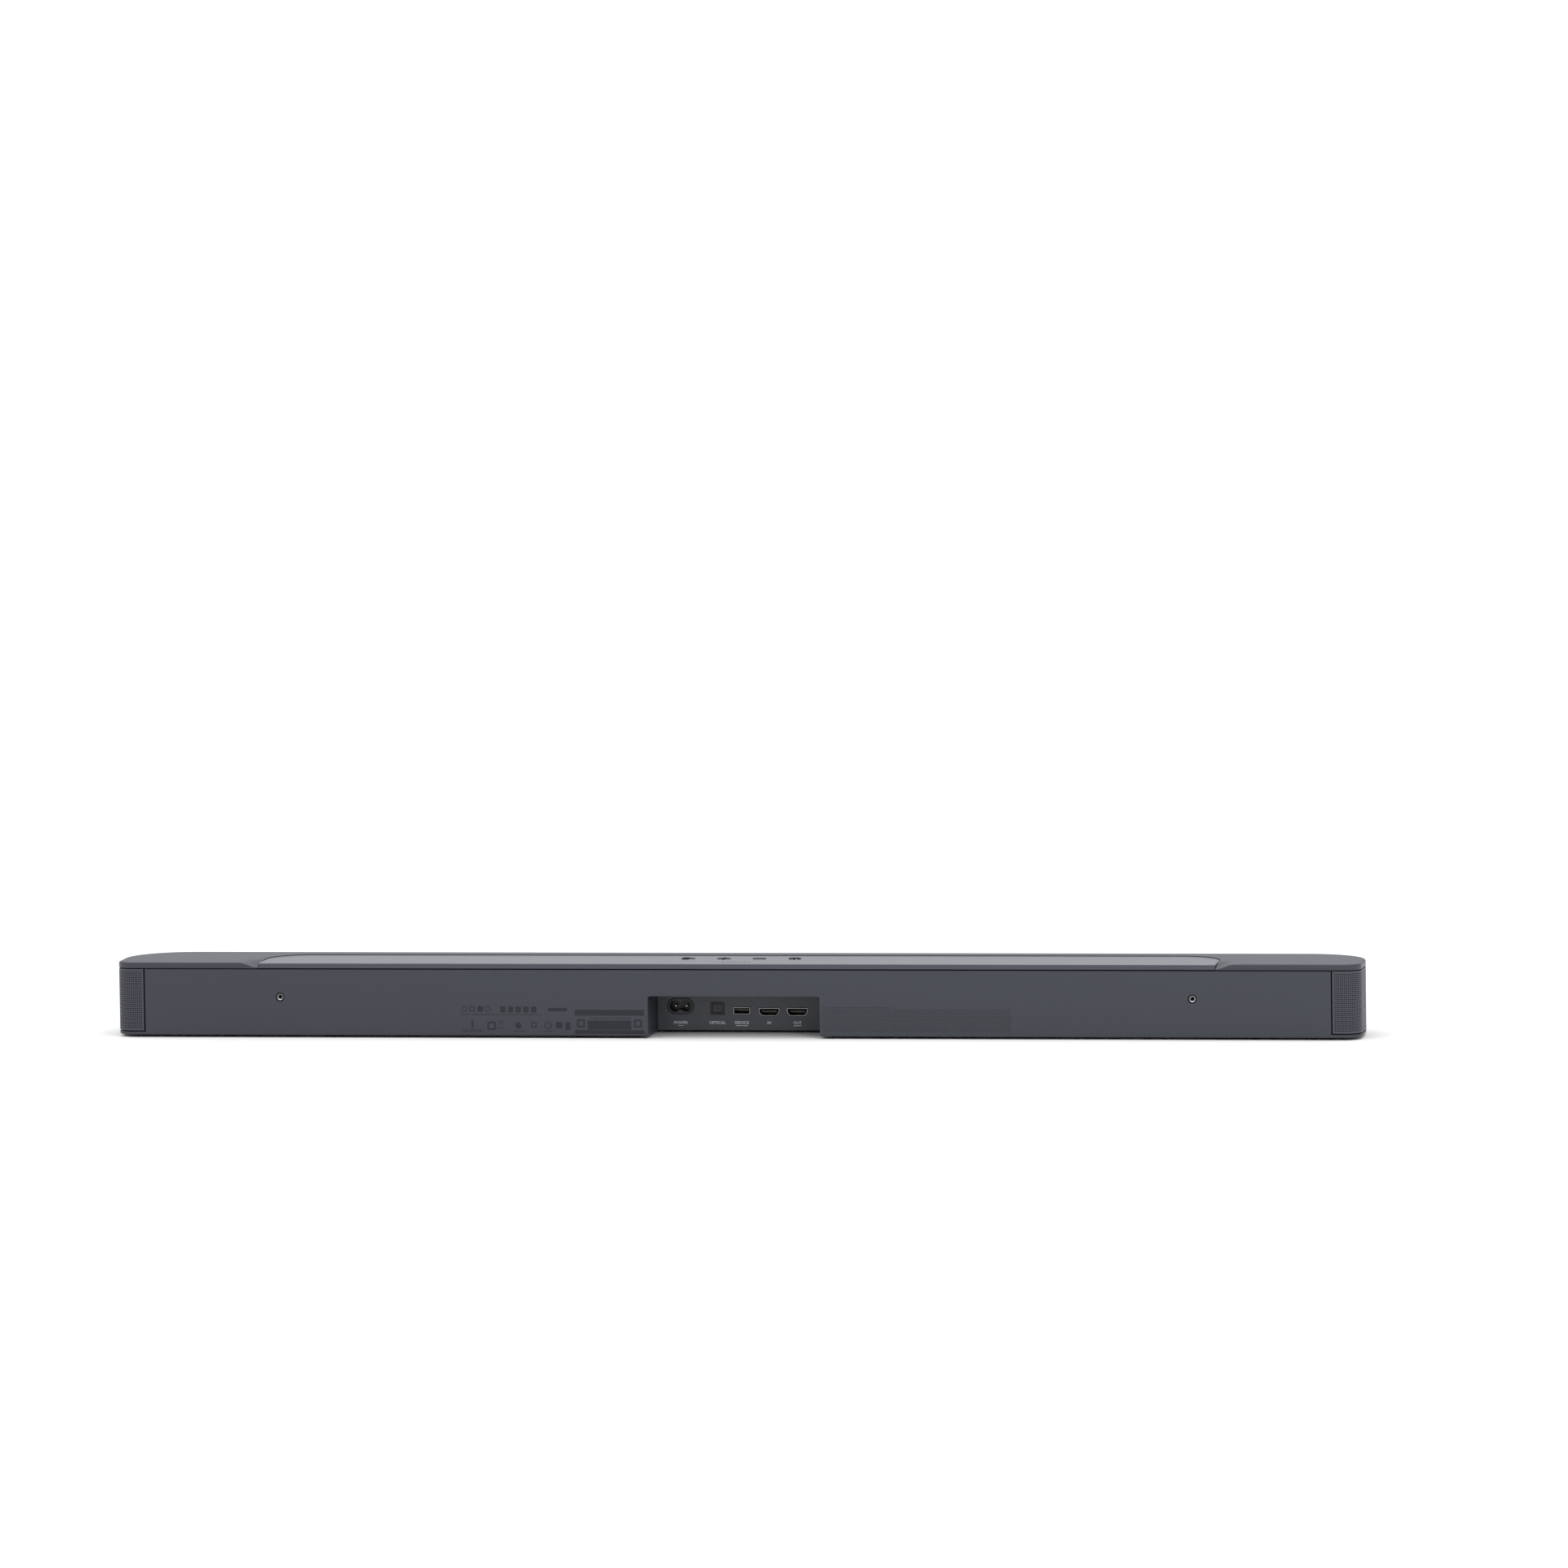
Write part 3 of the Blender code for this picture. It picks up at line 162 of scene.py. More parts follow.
def edge_levels(low: float, high: float, edge: float, steps: int = 3) -> list[tuple[float, float]]:
    """Heights and insets of a wall whose two edges are quarter rounds of radius edge.

    A last narrow flat ring, half an edge wide, keeps the shading of the round off the face.

    Args:
        low: Lower face.
        high: Upper face.
        edge: Radius of both rounds.
        steps: Chords in each round.

    Returns:
        (height, inset) pairs from the lower face to the upper one.
    """
    if edge <= 0:
        return [(low, 0.0), (high, 0.0)]
    turn = np.linspace(0, math.pi / 2, steps + 1)
    rise, inset = edge * (1 - np.cos(turn)), edge * (1 - np.sin(turn))
    lower = [(low, edge * 1.5)] + list(zip(low + rise, inset))
    return lower + [(high - (height - low), step) for height, step in reversed(lower)]


# ---------------------------------------------------------------- meshes
class Plane(Enum):
    """How a flat outline's u, v and its depth w lie in the model."""

    LEVEL = "u along X, v along Y, w up"
    UPRIGHT = "u along X, v up, w along Y"

    def place(self, u: Any, v: Any, w: Any) -> Array:
        """The X, Y and Z points of u, v and w, which may be arrays."""
        order = (u, v, w) if self is Plane.LEVEL else (u, w, v)
        return np.stack(np.broadcast_arrays(*order), axis=-1).astype(float)


def put_in(name: str, data: Any) -> bpy.types.Object:
    """A new object of that name and data, at the origin of the scene."""
    thing = bpy.data.objects.new(name, data)
    bpy.context.scene.collection.objects.link(thing)
    return thing


class Skin:
    """Points and faces gathered for one mesh."""

    def __init__(self) -> None:
        """Start with nothing."""
        self.points: list[Array] = []
        self.faces: list[Array] = []
        self.count = 0

    def add(self, points: Array, faces: Iterable[Array]) -> "Skin":
        """Take points and faces that number them from zero.

        Args:
            points: (..., 3) places.
            faces: Arrays of (n, corners) point numbers.

        Returns:
            This skin.
        """
        points = np.asarray(points, float).reshape(-1, 3)
        self.faces.extend(np.asarray(block).reshape(-1, np.shape(block)[-1]) + self.count
                          for block in faces)
        self.points.append(points)
        self.count += len(points)
        return self

    def grid(self, points: Array, around: bool = False, along: bool = False) -> "Skin":
        """A skin over rows of points; cell (r, c) joins its four neighbours.

        Args:
            points: (rows, columns, 3) places.
            around: Join each row's last point to its first.
            along: Join the last row to the first.

        Returns:
            This skin.
        """
        rows, columns = points.shape[:2]
        number = np.arange(rows * columns).reshape(rows, columns)
        if around:
            number = np.concatenate([number, number[:, :1]], axis=1)
        if along:
            number = np.concatenate([number, number[:1]], axis=0)
        corners = (number[:-1, :-1], number[:-1, 1:], number[1:, 1:], number[1:, :-1])
        return self.add(points, [np.stack(corners, axis=-1)])

    def turned(self, profile: Any, centre: Sequence[float], plane: Plane, steps: int = 48,
               ring: bool = False) -> "Skin":
        """A (radius r, height h) profile spun by angle a: centre + (r cos a, r sin a, h).

        Args:
            profile: (n, 2) radii and heights.
            centre: The axis's place in u and v.
            plane: Which way the axis points.
            steps: Points round the circle.
            ring: Join the profile's ends, for a tube.

        Returns:
            This skin.
        """
        radius, height = np.asarray(profile, float).T[:, :, None]
        angle = np.linspace(0, 2 * math.pi, steps, endpoint=False)
        u = centre[0] + radius * np.cos(angle)
        v = centre[1] + radius * np.sin(angle)
        return self.grid(plane.place(u, v, height), around=True, along=ring)

    def tracks(self, profile: Any, centre: Sequence[float], steps: int = 24,
               ring: bool = False) -> "Skin":
        """Racetracks of (width, height, y) lofted one to the next about an X and Z centre.

        Args:
            profile: (n, 3) widths, heights and depths.
            centre: X and Z of every ring's middle.
            steps: Chords in each half circle.
            ring: Join the last ring to the first.

        Returns:
            This skin.
        """
        width, height, depth = np.asarray(profile, float).T
        ring_points = racetrack(width, height, steps)
        placed = Plane.UPRIGHT.place(centre[0] + ring_points[..., 0],
                                     centre[1] + ring_points[..., 1], depth[:, None])
        return self.grid(placed, around=True, along=ring)

    def plate(self, outline: Array, low: float, high: float, plane: Plane,
              holes: Sequence[Array] = (), edge: float = 0.0002, hole_edge: float | None = None,
              steps: int = 3) -> "Skin":
        """A slab over an outline, less its holes, with rounded edges.

        Every loop is stacked at the levels of edge_levels, moved inwards (holes outwards) by
        each level's inset, and the two flat faces are filled between the outermost loops.

        Args:
            outline: Outer loop, in u and v.
            low: Lower face, along w.
            high: Upper face, along w.
            plane: Which way the slab lies.
            holes: Loops that are left open.
            edge: Radius of the outer edges.
            hole_edge: Radius of the holes' edges; edge where it is left out.
            steps: Chords in a round.

        Returns:
            This skin.
        """
        hole_edge = edge if hole_edge is None else hole_edge
        floor, roof = [], []
        for index, loop in enumerate([outline, *holes]):
            sign, radius = (1.0, hole_edge) if index else (-1.0, edge)
            rings = np.stack([plane.place(*offset(loop, sign * inset).T, height)
                              for height, inset in edge_levels(low, high, radius, steps)])
            self.grid(rings, around=True)
            floor.append(rings[0])
            roof.append(rings[-1])
        return self.fill(floor).fill(roof)

    def fill(self, loops: Sequence[Array]) -> "Skin":
        """A flat face inside the first loop, less the other loops, cut into triangles."""
        filled = tessellate_polygon([list(map(Vector, loop)) for loop in loops])
        return self.add(np.concatenate(loops), [np.array(filled)])

    def boxes(self, low: Array, high: Array) -> "Skin":
        """One box between each pair of low and high corners, all at once.

        Args:
            low: (n, 3) lowest corners.
            high: (n, 3) highest corners.

        Returns:
            This skin.
        """
        pick = np.array([[0, 0, 0], [1, 0, 0], [1, 1, 0], [0, 1, 0],
                         [0, 0, 1], [1, 0, 1], [1, 1, 1], [0, 1, 1]])
        low, high = np.atleast_2d(low)[:, None], np.atleast_2d(high)[:, None]
        points = low + (high - low) * pick
        sides = np.array([[0, 3, 2, 1], [4, 5, 6, 7], [0, 1, 5, 4],
                          [1, 2, 6, 5], [2, 3, 7, 6], [3, 0, 4, 7]])
        start = 8 * np.arange(len(points))[:, None, None]
        return self.add(points, [sides + start])

    def piece(self, name: str, smooth: float = 40.0, mend: bool = True) -> bpy.types.Object:
        """Put the skin into a mesh, join points that meet and turn its faces outwards.

        Args:
            name: The piece's name.
            smooth: Edges flatter than this, in degrees, are shaded smooth.
            mend: Join doubles and recalculate normals; the large grids are right already.

        Returns:
            The new object, at the origin.
        """
        data = bpy.data.meshes.new(name)
        points = np.concatenate(self.points)
        corners = np.concatenate([block.ravel() for block in self.faces])
        sizes = np.concatenate([np.full(len(block), block.shape[1]) for block in self.faces])
        data.vertices.add(len(points))
        data.vertices.foreach_set("co", points.astype(np.float32).ravel())
        data.loops.add(len(corners))
        data.loops.foreach_set("vertex_index", corners.astype(np.int32))
        data.polygons.add(len(sizes))
        data.polygons.foreach_set("loop_start", (np.cumsum(sizes) - sizes).astype(np.int32))
        data.update(calc_edges=True)
        if mend:
            mesh = bmesh.new()
            mesh.from_mesh(data)
            bmesh.ops.remove_doubles(mesh, verts=mesh.verts, dist=MERGE)
            bmesh.ops.recalc_face_normals(mesh, faces=mesh.faces)
            mesh.to_mesh(data)
            mesh.free()
        data.shade_smooth()
        data.set_sharp_from_angle(angle=math.radians(smooth))
        return put_in(name, data)


def soften_cad(node: str, name: str, edge: float, segments: int = 2) -> bpy.types.Object:
    """A merged copy of a CAD node, its flat faces joined up and its edges rounded.

    Args:
        node: The CAD node to copy.
        name: The new piece's name.
        edge: Width of the round.
        segments: Faces across the round.

    Returns:
        The new object, at the origin.
    """
    mesh = bmesh.new()
    mesh.from_mesh(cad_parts[node].data)
    for layer in list(mesh.loops.layers.float_vector.values()):
        mesh.loops.layers.float_vector.remove(layer)
    bmesh.ops.remove_doubles(mesh, verts=mesh.verts, dist=MERGE)
    bmesh.ops.dissolve_limit(mesh, angle_limit=math.radians(1.0), verts=mesh.verts,
                             edges=mesh.edges, use_dissolve_boundaries=False)
    data = bpy.data.meshes.new(name)
    mesh.to_mesh(data)
    mesh.free()
    data.shade_smooth()
    thing = put_in(name, data)
    bevel = thing.modifiers.new("soft edges", "BEVEL")
    bevel.width = edge
    bevel.segments = segments
    bevel.limit_method = "ANGLE"
    bevel.angle_limit = math.radians(32.0)
    bevel.miter_outer = "MITER_ARC"
    flat = thing.modifiers.new("flat faces", "WEIGHTED_NORMAL")
    flat.mode, flat.weight, flat.keep_sharp = "FACE_AREA", 100, True
    return thing


# ---------------------------------------------------------------- shader groups
class Wiring:
    """Adds nodes to one node tree and joins their sockets."""

    def __init__(self, tree: bpy.types.NodeTree) -> None:
        """Clear the tree and keep it."""
        self.tree = tree
        tree.nodes.clear()

    def add(self, kind: str, sockets: dict[str | int, Any] | None = None,
            **settings: Any) -> bpy.types.Node:
        """Make a node and fill its inputs.

        Args:
            kind: Node type, without the "ShaderNode" in front.
            sockets: Input name or number to a value, or to the socket that feeds it.
            **settings: Properties of the node itself.

        Returns:
            The node.
        """
        node = self.tree.nodes.new(kind if kind.startswith("Node") else f"ShaderNode{kind}")
        for key, value in settings.items():
            setattr(node, key, value)
        for key, value in (sockets or {}).items():
            target = node.inputs[key]
            if isinstance(value, bpy.types.NodeSocket):
                self.tree.links.new(value, target)
            else:
                target.default_value = value
        return node

    def math(self, operation: str, first: Any, second: Any = 0.0, clamp: bool = False) -> Any:
        """One Math node's output."""
        return self.add("Math", {0: first, 1: second}, operation=operation,
                        use_clamp=clamp).outputs[0]

    def plus(self, first: Any, second: Any, clamp: bool = False) -> Any:
        """The sum of two values."""
        return self.math("ADD", first, second, clamp)

    def minus(self, first: Any, second: Any, clamp: bool = False) -> Any:
        """The first value less the second."""
        return self.math("SUBTRACT", first, second, clamp)

    def times(self, first: Any, second: Any, clamp: bool = False) -> Any:
        """The product of two values."""
        return self.math("MULTIPLY", first, second, clamp)

    def mix(self, share: Any, first: Any, second: Any, blend: str = "MIX") -> Any:
        """One colour Mix node's output: first where share is 0 and second where it is 1."""
        return self.add("Mix", {0: share, 6: first, 7: second}, data_type="RGBA",
                        blend_type=blend, clamp_result=False).outputs[2]

    def ramp(self, value: Any, low: float, high: float, start: Any = 0.0, end: Any = 1.0) -> Any:
        """A value taken smoothly from low..high to start..end."""
        sockets = {"Value": value, 1: low, 2: high, 3: start, 4: end}
        return self.add("MapRange", sockets, interpolation_type="SMOOTHSTEP").outputs[0]

    def noise(self, place: Any, scale: Any, detail: float = 2.0, rough: float = 0.55) -> Any:
        """A noise texture's value on the given coordinates."""
        sockets = {"Vector": place, "Scale": scale, "Detail": detail, "Roughness": rough}
        return self.add("TexNoise", sockets).outputs["Fac"]

    def object_place(self) -> Any:
        """The piece's own coordinates, in metres."""
        return self.add("TexCoord").outputs["Object"]


class Effect(Enum):
    """The effects that several finishes share, each one a node group."""

    MOULDED_GRAIN = "moulded_grain"
    # Lighter edges: partly wear, partly a painted edge highlight.
    WEAR_AND_EDGE_HIGHLIGHT = "soft_wear"
    SETTLED_DUST = "settled_dust"
    DRAWN_METAL = "drawn_metal"
    PRESSED_FIBRE = "pressed_fibre"
    BOARD_TRACKS = "board_tracks"

    def tree(self) -> bpy.types.NodeTree:
        """The effect's node group, built the first time it is asked for."""
        known = bpy.data.node_groups.get(self.value)
        return known or getattr(EffectMaker(self.value), self.value)()


class EffectMaker:
    """Builds one shader group: its sockets, then the nodes between them."""

    def __init__(self, name: str) -> None:
        """Make an empty group of that name."""
        self.group = bpy.data.node_groups.new(name, "ShaderNodeTree")
        self.wiring = Wiring(self.group)

    def _socket(self, label: str, direction: str, start: Any) -> None:
        """Add one socket; three numbers make a colour and one number a value.

        Args:
            label: The socket's name.
            direction: "INPUT" or "OUTPUT".
            start: Its value while nothing feeds it.
        """
        kind = "NodeSocketColor" if isinstance(start, tuple) else "NodeSocketFloat"
        made = self.group.interface.new_socket(label, in_out=direction, socket_type=kind)
        made.default_value = (*start, 1.0) if isinstance(start, tuple) else start

    def _open(self, **inputs: Any) -> Any:
        """Make the named inputs.

        Args:
            **inputs: Each input's name, with _ for a space, and its value at the start.

        Returns:
            The sockets that give them, by name.
        """
        for label, start in inputs.items():
            self._socket(label.replace("_", " "), "INPUT", start)
        return self.wiring.add("NodeGroupInput").outputs

    def _close(self, **outputs: Any) -> bpy.types.NodeTree:
        """Make the named outputs and join them.

        Args:
            **outputs: Each output's name and the socket that feeds it.

        Returns:
            The finished group.
        """
        for label, source in outputs.items():
            start = (0.0, 0.0, 0.0) if source.type == "RGBA" else 0.0
            self._socket(label, "OUTPUT", start)
        self.wiring.add("NodeGroupOutput", dict(outputs))
        return self.group

    def moulded_grain(self) -> bpy.types.NodeTree:
        """Fine spark-eroded grain with broad mottling, for moulded plastic, paint and rubber."""
        w = self.wiring
        given = self._open(Colour=(0.1, 0.1, 0.1), Roughness=0.5, Grain=2400.0, Relief=1e-5,
                           Mottle=0.04, Gloss_Change=0.05)
        place = w.object_place()
        fine = w.noise(place, given["Grain"], 3.0, 0.6)
        cell = w.add("TexVoronoi", {"Vector": place, "Scale": w.times(given["Grain"], 0.62)},
                     feature="SMOOTH_F1").outputs["Distance"]
        skin = w.plus(w.times(fine, 0.6), w.times(cell, 0.6))
        broad = w.noise(place, 11.0, 3.0)
        middle = w.noise(place, 190.0, 2.0)
        blend = w.plus(w.times(broad, 0.7), w.times(middle, 0.3))
        swing = w.times(w.minus(blend, 0.5), 2.0)
        shade = w.plus(1.0, w.times(swing, given["Mottle"]))
        colour = w.mix(1.0, given["Colour"], shade, "MULTIPLY")
        change = w.times(w.minus(w.plus(middle, fine), 1.0), given["Gloss Change"])
        rough = w.plus(given["Roughness"], change, clamp=True)
        return self._close(Colour=colour, Roughness=rough,
                           Height=w.times(skin, given["Relief"]))

    def soft_wear(self) -> bpy.types.NodeTree:
        """Edges a shade lighter, partly rubbed wear and partly a painted edge highlight: 1 -
        (rounded normal . true normal), broken by noise.
        """
        w = self.wiring
        given = self._open(Colour=(0.1, 0.1, 0.1), Edge_Colour=(0.3, 0.3, 0.3), Reach=0.0004,
                           Amount=0.3)
        rounded = w.add("Bevel", {"Radius": given["Reach"]}, samples=4).outputs[0]
        true = w.add("NewGeometry").outputs["Normal"]
        likeness = w.add("VectorMath", {0: rounded, 1: true}, operation="DOT_PRODUCT")
        bend = w.ramp(likeness.outputs["Value"], 0.995, 0.80)
        patch = w.ramp(w.noise(w.object_place(), 260.0, 4.0), 0.35, 0.65, 0.45, 1.0)
        mask = w.times(bend, patch)
        share = w.times(mask, given["Amount"], clamp=True)
        return self._close(Colour=w.mix(share, given["Colour"], given["Edge Colour"]), Mask=mask)

    def settled_dust(self) -> bpy.types.NodeTree:
        """Fine pale specks and haze that lie only where a face looks up."""
        w = self.wiring
        given = self._open(Colour=(0.1, 0.1, 0.1), Roughness=0.5, Amount=0.1)
        upward = w.add("SeparateXYZ", {0: w.add("NewGeometry").outputs["Normal"]}).outputs["Z"]
        place = w.object_place()
        speck = w.ramp(w.noise(place, 1500.0, 3.0, 0.7), 0.62, 0.74)
        haze = w.ramp(w.noise(place, 36.0, 4.0, 0.6), 0.35, 0.75, 0.0, 0.35)
        lie = w.times(w.ramp(upward, 0.55, 0.95), w.plus(speck, haze))
        mask = w.times(lie, given["Amount"], clamp=True)
        rough = w.plus(given["Roughness"], w.times(mask, 0.35), clamp=True)
        colour = w.mix(mask, given["Colour"], (0.42, 0.41, 0.39, 1.0))
        return self._close(Colour=colour, Roughness=rough)

    def drawn_metal(self) -> bpy.types.NodeTree:
        """Metal with fine lines across it, slight stains and a change of gloss along them."""
        w = self.wiring
        given = self._open(Colour=(0.5, 0.5, 0.5), Roughness=0.3, Lines=900.0, Relief=4e-6)
        place = w.object_place()
        squeezed = w.add("Mapping", {0: place, 3: (0.06, 1.0, 1.0)}).outputs[0]
        line = w.noise(squeezed, given["Lines"], 3.0, 0.65)
        stain = w.noise(place, 120.0, 3.0)
        tone = w.ramp(stain, 0.3, 0.7, 0.82, 1.06)
        colour = w.mix(1.0, given["Colour"], tone, "MULTIPLY")
        change = w.times(w.minus(w.plus(line, stain), 1.0), 0.22)
        rough = w.plus(given["Roughness"], change, clamp=True)
        return self._close(Colour=colour, Roughness=rough,
                           Height=w.times(line, given["Relief"]))

    def pressed_fibre(self) -> bpy.types.NodeTree:
        """Matted fibres: two stretched noises crossed, for coated paper and silk."""
        w = self.wiring
        given = self._open(Colour=(0.1, 0.1, 0.1), Roughness=0.8, Fibre=1400.0, Relief=2e-5)
        place = w.object_place()
        along = w.add("Mapping", {0: place, 3: (0.12, 1.0, 1.0)}).outputs[0]
        across = w.add("Mapping", {0: place, 3: (1.0, 1.0, 0.12)}).outputs[0]
        mat = w.math("MAXIMUM", w.noise(along, given["Fibre"], 2.0),
                     w.noise(across, given["Fibre"], 2.0))
        tone = w.ramp(mat, 0.4, 0.75, 0.8, 1.35)
        colour = w.mix(1.0, given["Colour"], tone, "MULTIPLY")
        rough = w.minus(given["Roughness"], w.times(mat, 0.12), clamp=True)
        return self._close(Colour=colour, Roughness=rough, Height=w.times(mat, given["Relief"]))

    def board_tracks(self) -> bpy.types.NodeTree:
        """Solder mask over copper: square cells of tracks and pads, lighter and raised."""
        w = self.wiring
        given = self._open(Colour=(0.02, 0.1, 0.05), Track_Colour=(0.05, 0.2, 0.1), Pitch=420.0)
        place = w.object_place()
        cells = w.add("TexVoronoi", {"Vector": place, "Scale": given["Pitch"]},
                      distance="CHEBYCHEV", feature="F1").outputs["Distance"]
        pads = w.ramp(cells, 0.30, 0.24)
        lanes = w.add("TexBrick", {"Vector": place, "Scale": given["Pitch"], "Mortar Size": 0.03,
                                   "Brick Width": 1.6, "Row Height": 0.35}).outputs["Fac"]
        copper = w.math("MAXIMUM", pads, lanes)
        return self._close(Colour=w.mix(copper, given["Colour"], given["Track Colour"]),
                           Copper=copper, Height=w.times(copper, 3.5e-5))


# ---------------------------------------------------------------- finishes
class Texture(Enum):
    """What a finish's surface is made like."""

    MOULDED = "moulded or painted"
    DRAWN = "drawn, turned or plated metal"
    FIBROUS = "paper or cloth"
    BOARD = "printed circuit board"


@dataclass(frozen=True)
class Finish:
    """One finish of the bar: its record slot, its colour and how its surface is made."""

    slot: str
    colour: Colour
    roughness: float
    texture: Texture = Texture.MOULDED
    metallic: float = 0.0
    grain: float = 2400.0
    relief: float = 8e-6
    mottle: float = 0.04
    # Share and reach of the lighter edges, partly wear and partly a painted edge highlight.
    wear: float = 0.0
    wear_reach: float = 0.0004
    dust: float = 0.0
    specular: float = 0.5
    coat: float = 0.0
    sheen: float = 0.0
    name: str = ""

    def _surface(self, w: Wiring) -> bpy.types.Node:
        """The group node that gives this texture's colour, roughness and height."""
        colour = (*self.colour, 1.0)
        if self.texture is Texture.BOARD:
            track = tuple(min(1.0, 2.4 * share + 0.02) for share in self.colour)
            return self._group(w, Effect.BOARD_TRACKS, {"Colour": colour,
                                                        "Track Colour": (*track, 1.0)})
        sockets = {"Colour": colour, "Roughness": self.roughness, "Relief": self.relief}
        if self.texture is Texture.DRAWN:
            return self._group(w, Effect.DRAWN_METAL, {**sockets, "Lines": self.grain})
        if self.texture is Texture.FIBROUS:
            return self._group(w, Effect.PRESSED_FIBRE, {**sockets, "Fibre": self.grain})
        return self._group(w, Effect.MOULDED_GRAIN, {**sockets, "Grain": self.grain,
                                                     "Mottle": self.mottle})

    @staticmethod
    def _group(w: Wiring, effect: Effect, sockets: dict[str | int, Any]) -> bpy.types.Node:
        """A group node of one effect, with its inputs filled."""
        return w.add("Group", sockets, node_tree=effect.tree())

    def material(self) -> bpy.types.Material:
        """The finish as a material, built once.

        Returns:
            A material whose colour, roughness and bump come through the shared groups.
        """
        label = self.name or f"{self.slot}_finish"
        known = bpy.data.materials.get(label)
        if known:
            return known
        made = bpy.data.materials.new(label)
        made.use_nodes = True
        w = Wiring(made.node_tree)
        surface = self._surface(w).outputs
        colour = surface["Colour"]
        rough: Any = surface["Roughness"] if "Roughness" in surface else self.roughness
        # Edges painted lighter: partly wear, partly a painted highlight on the edges.
        if self.wear > 0:
            worn_and_highlit_edge = tuple(min(1.0, 2.1 * share + 0.05) for share in self.colour)
            colour = self._group(w, Effect.WEAR_AND_EDGE_HIGHLIGHT, {
                "Colour": colour, "Edge Colour": (*worn_and_highlit_edge, 1.0), "Reach": self.wear_reach,
                "Amount": self.wear}).outputs["Colour"]
        if self.dust > 0:
            dusty = self._group(w, Effect.SETTLED_DUST, {
                "Colour": colour, "Roughness": rough, "Amount": self.dust}).outputs
            colour, rough = dusty["Colour"], dusty["Roughness"]
        bump = w.add("Bump", {"Height": surface["Height"], "Distance": 1.0, "Strength": 1.0})
        sockets = {"Base Color": colour, "Roughness": rough, "Normal": bump.outputs[0],
                   "Metallic": self.metallic, "Specular IOR Level": self.specular,
                   "Coat Weight": self.coat, "Sheen Weight": self.sheen}
        shader = w.add("BsdfPrincipled", sockets)
        w.add("OutputMaterial", {"Surface": shader.outputs[0]})
        return made


def metal(slot: str, colour: Colour, roughness: float, **rest: Any) -> Finish:
    """A drawn or plated metal finish."""
    return Finish(slot, colour, roughness, Texture.DRAWN, 1.0, **rest)


# Where wear is set, edges come out lighter: partly wear, partly a painted edge highlight.
SHELL = Finish("shell_plastic", (0.0355, 0.0385, 0.0495), 0.42, wear=0.28, dust=0.04,
               specular=0.36)
DECK = Finish("deck_plastic", (0.043, 0.047, 0.062), 0.285, grain=3000, relief=4e-6, mottle=0.03,
              wear=0.20, dust=0.04)
GRILLE = Finish("grille_metal", (0.046, 0.050, 0.063), 0.46, grain=3600, relief=7e-6,
                mottle=0.05, specular=0.42)
INNER = Finish("inner_black", (0.008, 0.008, 0.009), 0.75, mottle=0.08, specular=0.3)
BAY = Finish("bay_plastic", (0.074, 0.077, 0.088), 0.55, wear=0.18, wear_reach=0.0003,
             specular=0.4)
KEY = Finish("key_rubber", (0.009, 0.009, 0.011), 0.85, grain=4200, relief=6e-6, specular=0.12)
SOCKET = Finish("socket_black", (0.016, 0.016, 0.018), 0.40, grain=3000, wear=0.25,
                wear_reach=0.0002)
PLATED = metal("plated_steel", (0.34, 0.34, 0.36), 0.32, grain=1600, relief=2e-6)
PIN = metal("plated_steel", (0.80, 0.80, 0.80), 0.16, grain=1600, relief=1e-6,
            name="polished_pin")
BLACK_STEEL = metal("black_steel", (0.060, 0.061, 0.066), 0.36, relief=3e-6)
CUT_THREAD = metal("black_steel", (0.55, 0.55, 0.56), 0.24, relief=2e-6, name="cut_thread")
BOARD = Finish("circuit_board", (0.012, 0.060, 0.030), 0.42, Texture.BOARD)
FERRITE = Finish("ferrite", (0.030, 0.030, 0.032), 0.62, grain=1500, relief=2e-5, mottle=0.15)
ALUMINIUM = metal("aluminium", (0.58, 0.59, 0.60), 0.36, grain=1200, relief=5e-6)
SLEEVE = Finish("capacitor_sleeve", (0.020, 0.035, 0.110), 0.38, grain=900, relief=1e-5,
                coat=0.3)
PAPER = Finish("paper_cone", (0.022, 0.022, 0.023), 0.88, Texture.FIBROUS, grain=1300,
               relief=3e-5, sheen=0.1)
RUBBER = Finish("rubber", (0.014, 0.014, 0.015), 0.72, grain=1700, relief=1.4e-5, mottle=0.10,
                dust=0.05)
SILK = Finish("silk_dome", (0.030, 0.030, 0.033), 0.62, Texture.FIBROUS, grain=2600,
              relief=1.2e-5, sheen=0.3)
LENS = Finish("smoked_lens", (0.014, 0.007, 0.007), 0.14, grain=700, relief=1e-6, coat=0.4)
ZINC = metal("zinc_steel", (0.42, 0.42, 0.43), 0.38, grain=2000, relief=4e-6, wear=0.2,
             wear_reach=0.0002)
INK_GREY = Finish("shell_plastic", (0.0165, 0.018, 0.023), 0.60, grain=5000, relief=3e-6,
                  specular=0.30, name="tone_on_tone_ink")
INK_FAINT = Finish("shell_plastic", (0.0235, 0.0255, 0.032), 0.58, grain=5000, relief=3e-6,
                   specular=0.34, name="faint_ink")
DECK_INK = Finish("deck_plastic", (0.010, 0.011, 0.013), 0.70, grain=5000, relief=2e-6,
                  specular=0.15, name="dark_deck_ink")
INK_WHITE = Finish("bay_plastic", (0.56, 0.57, 0.60), 0.55, grain=5000, relief=4e-6,
                   name="pale_ink")
CONTACT = metal("plated_steel", (0.50, 0.37, 0.18), 0.32, relief=2e-6, name="gilt_contact")


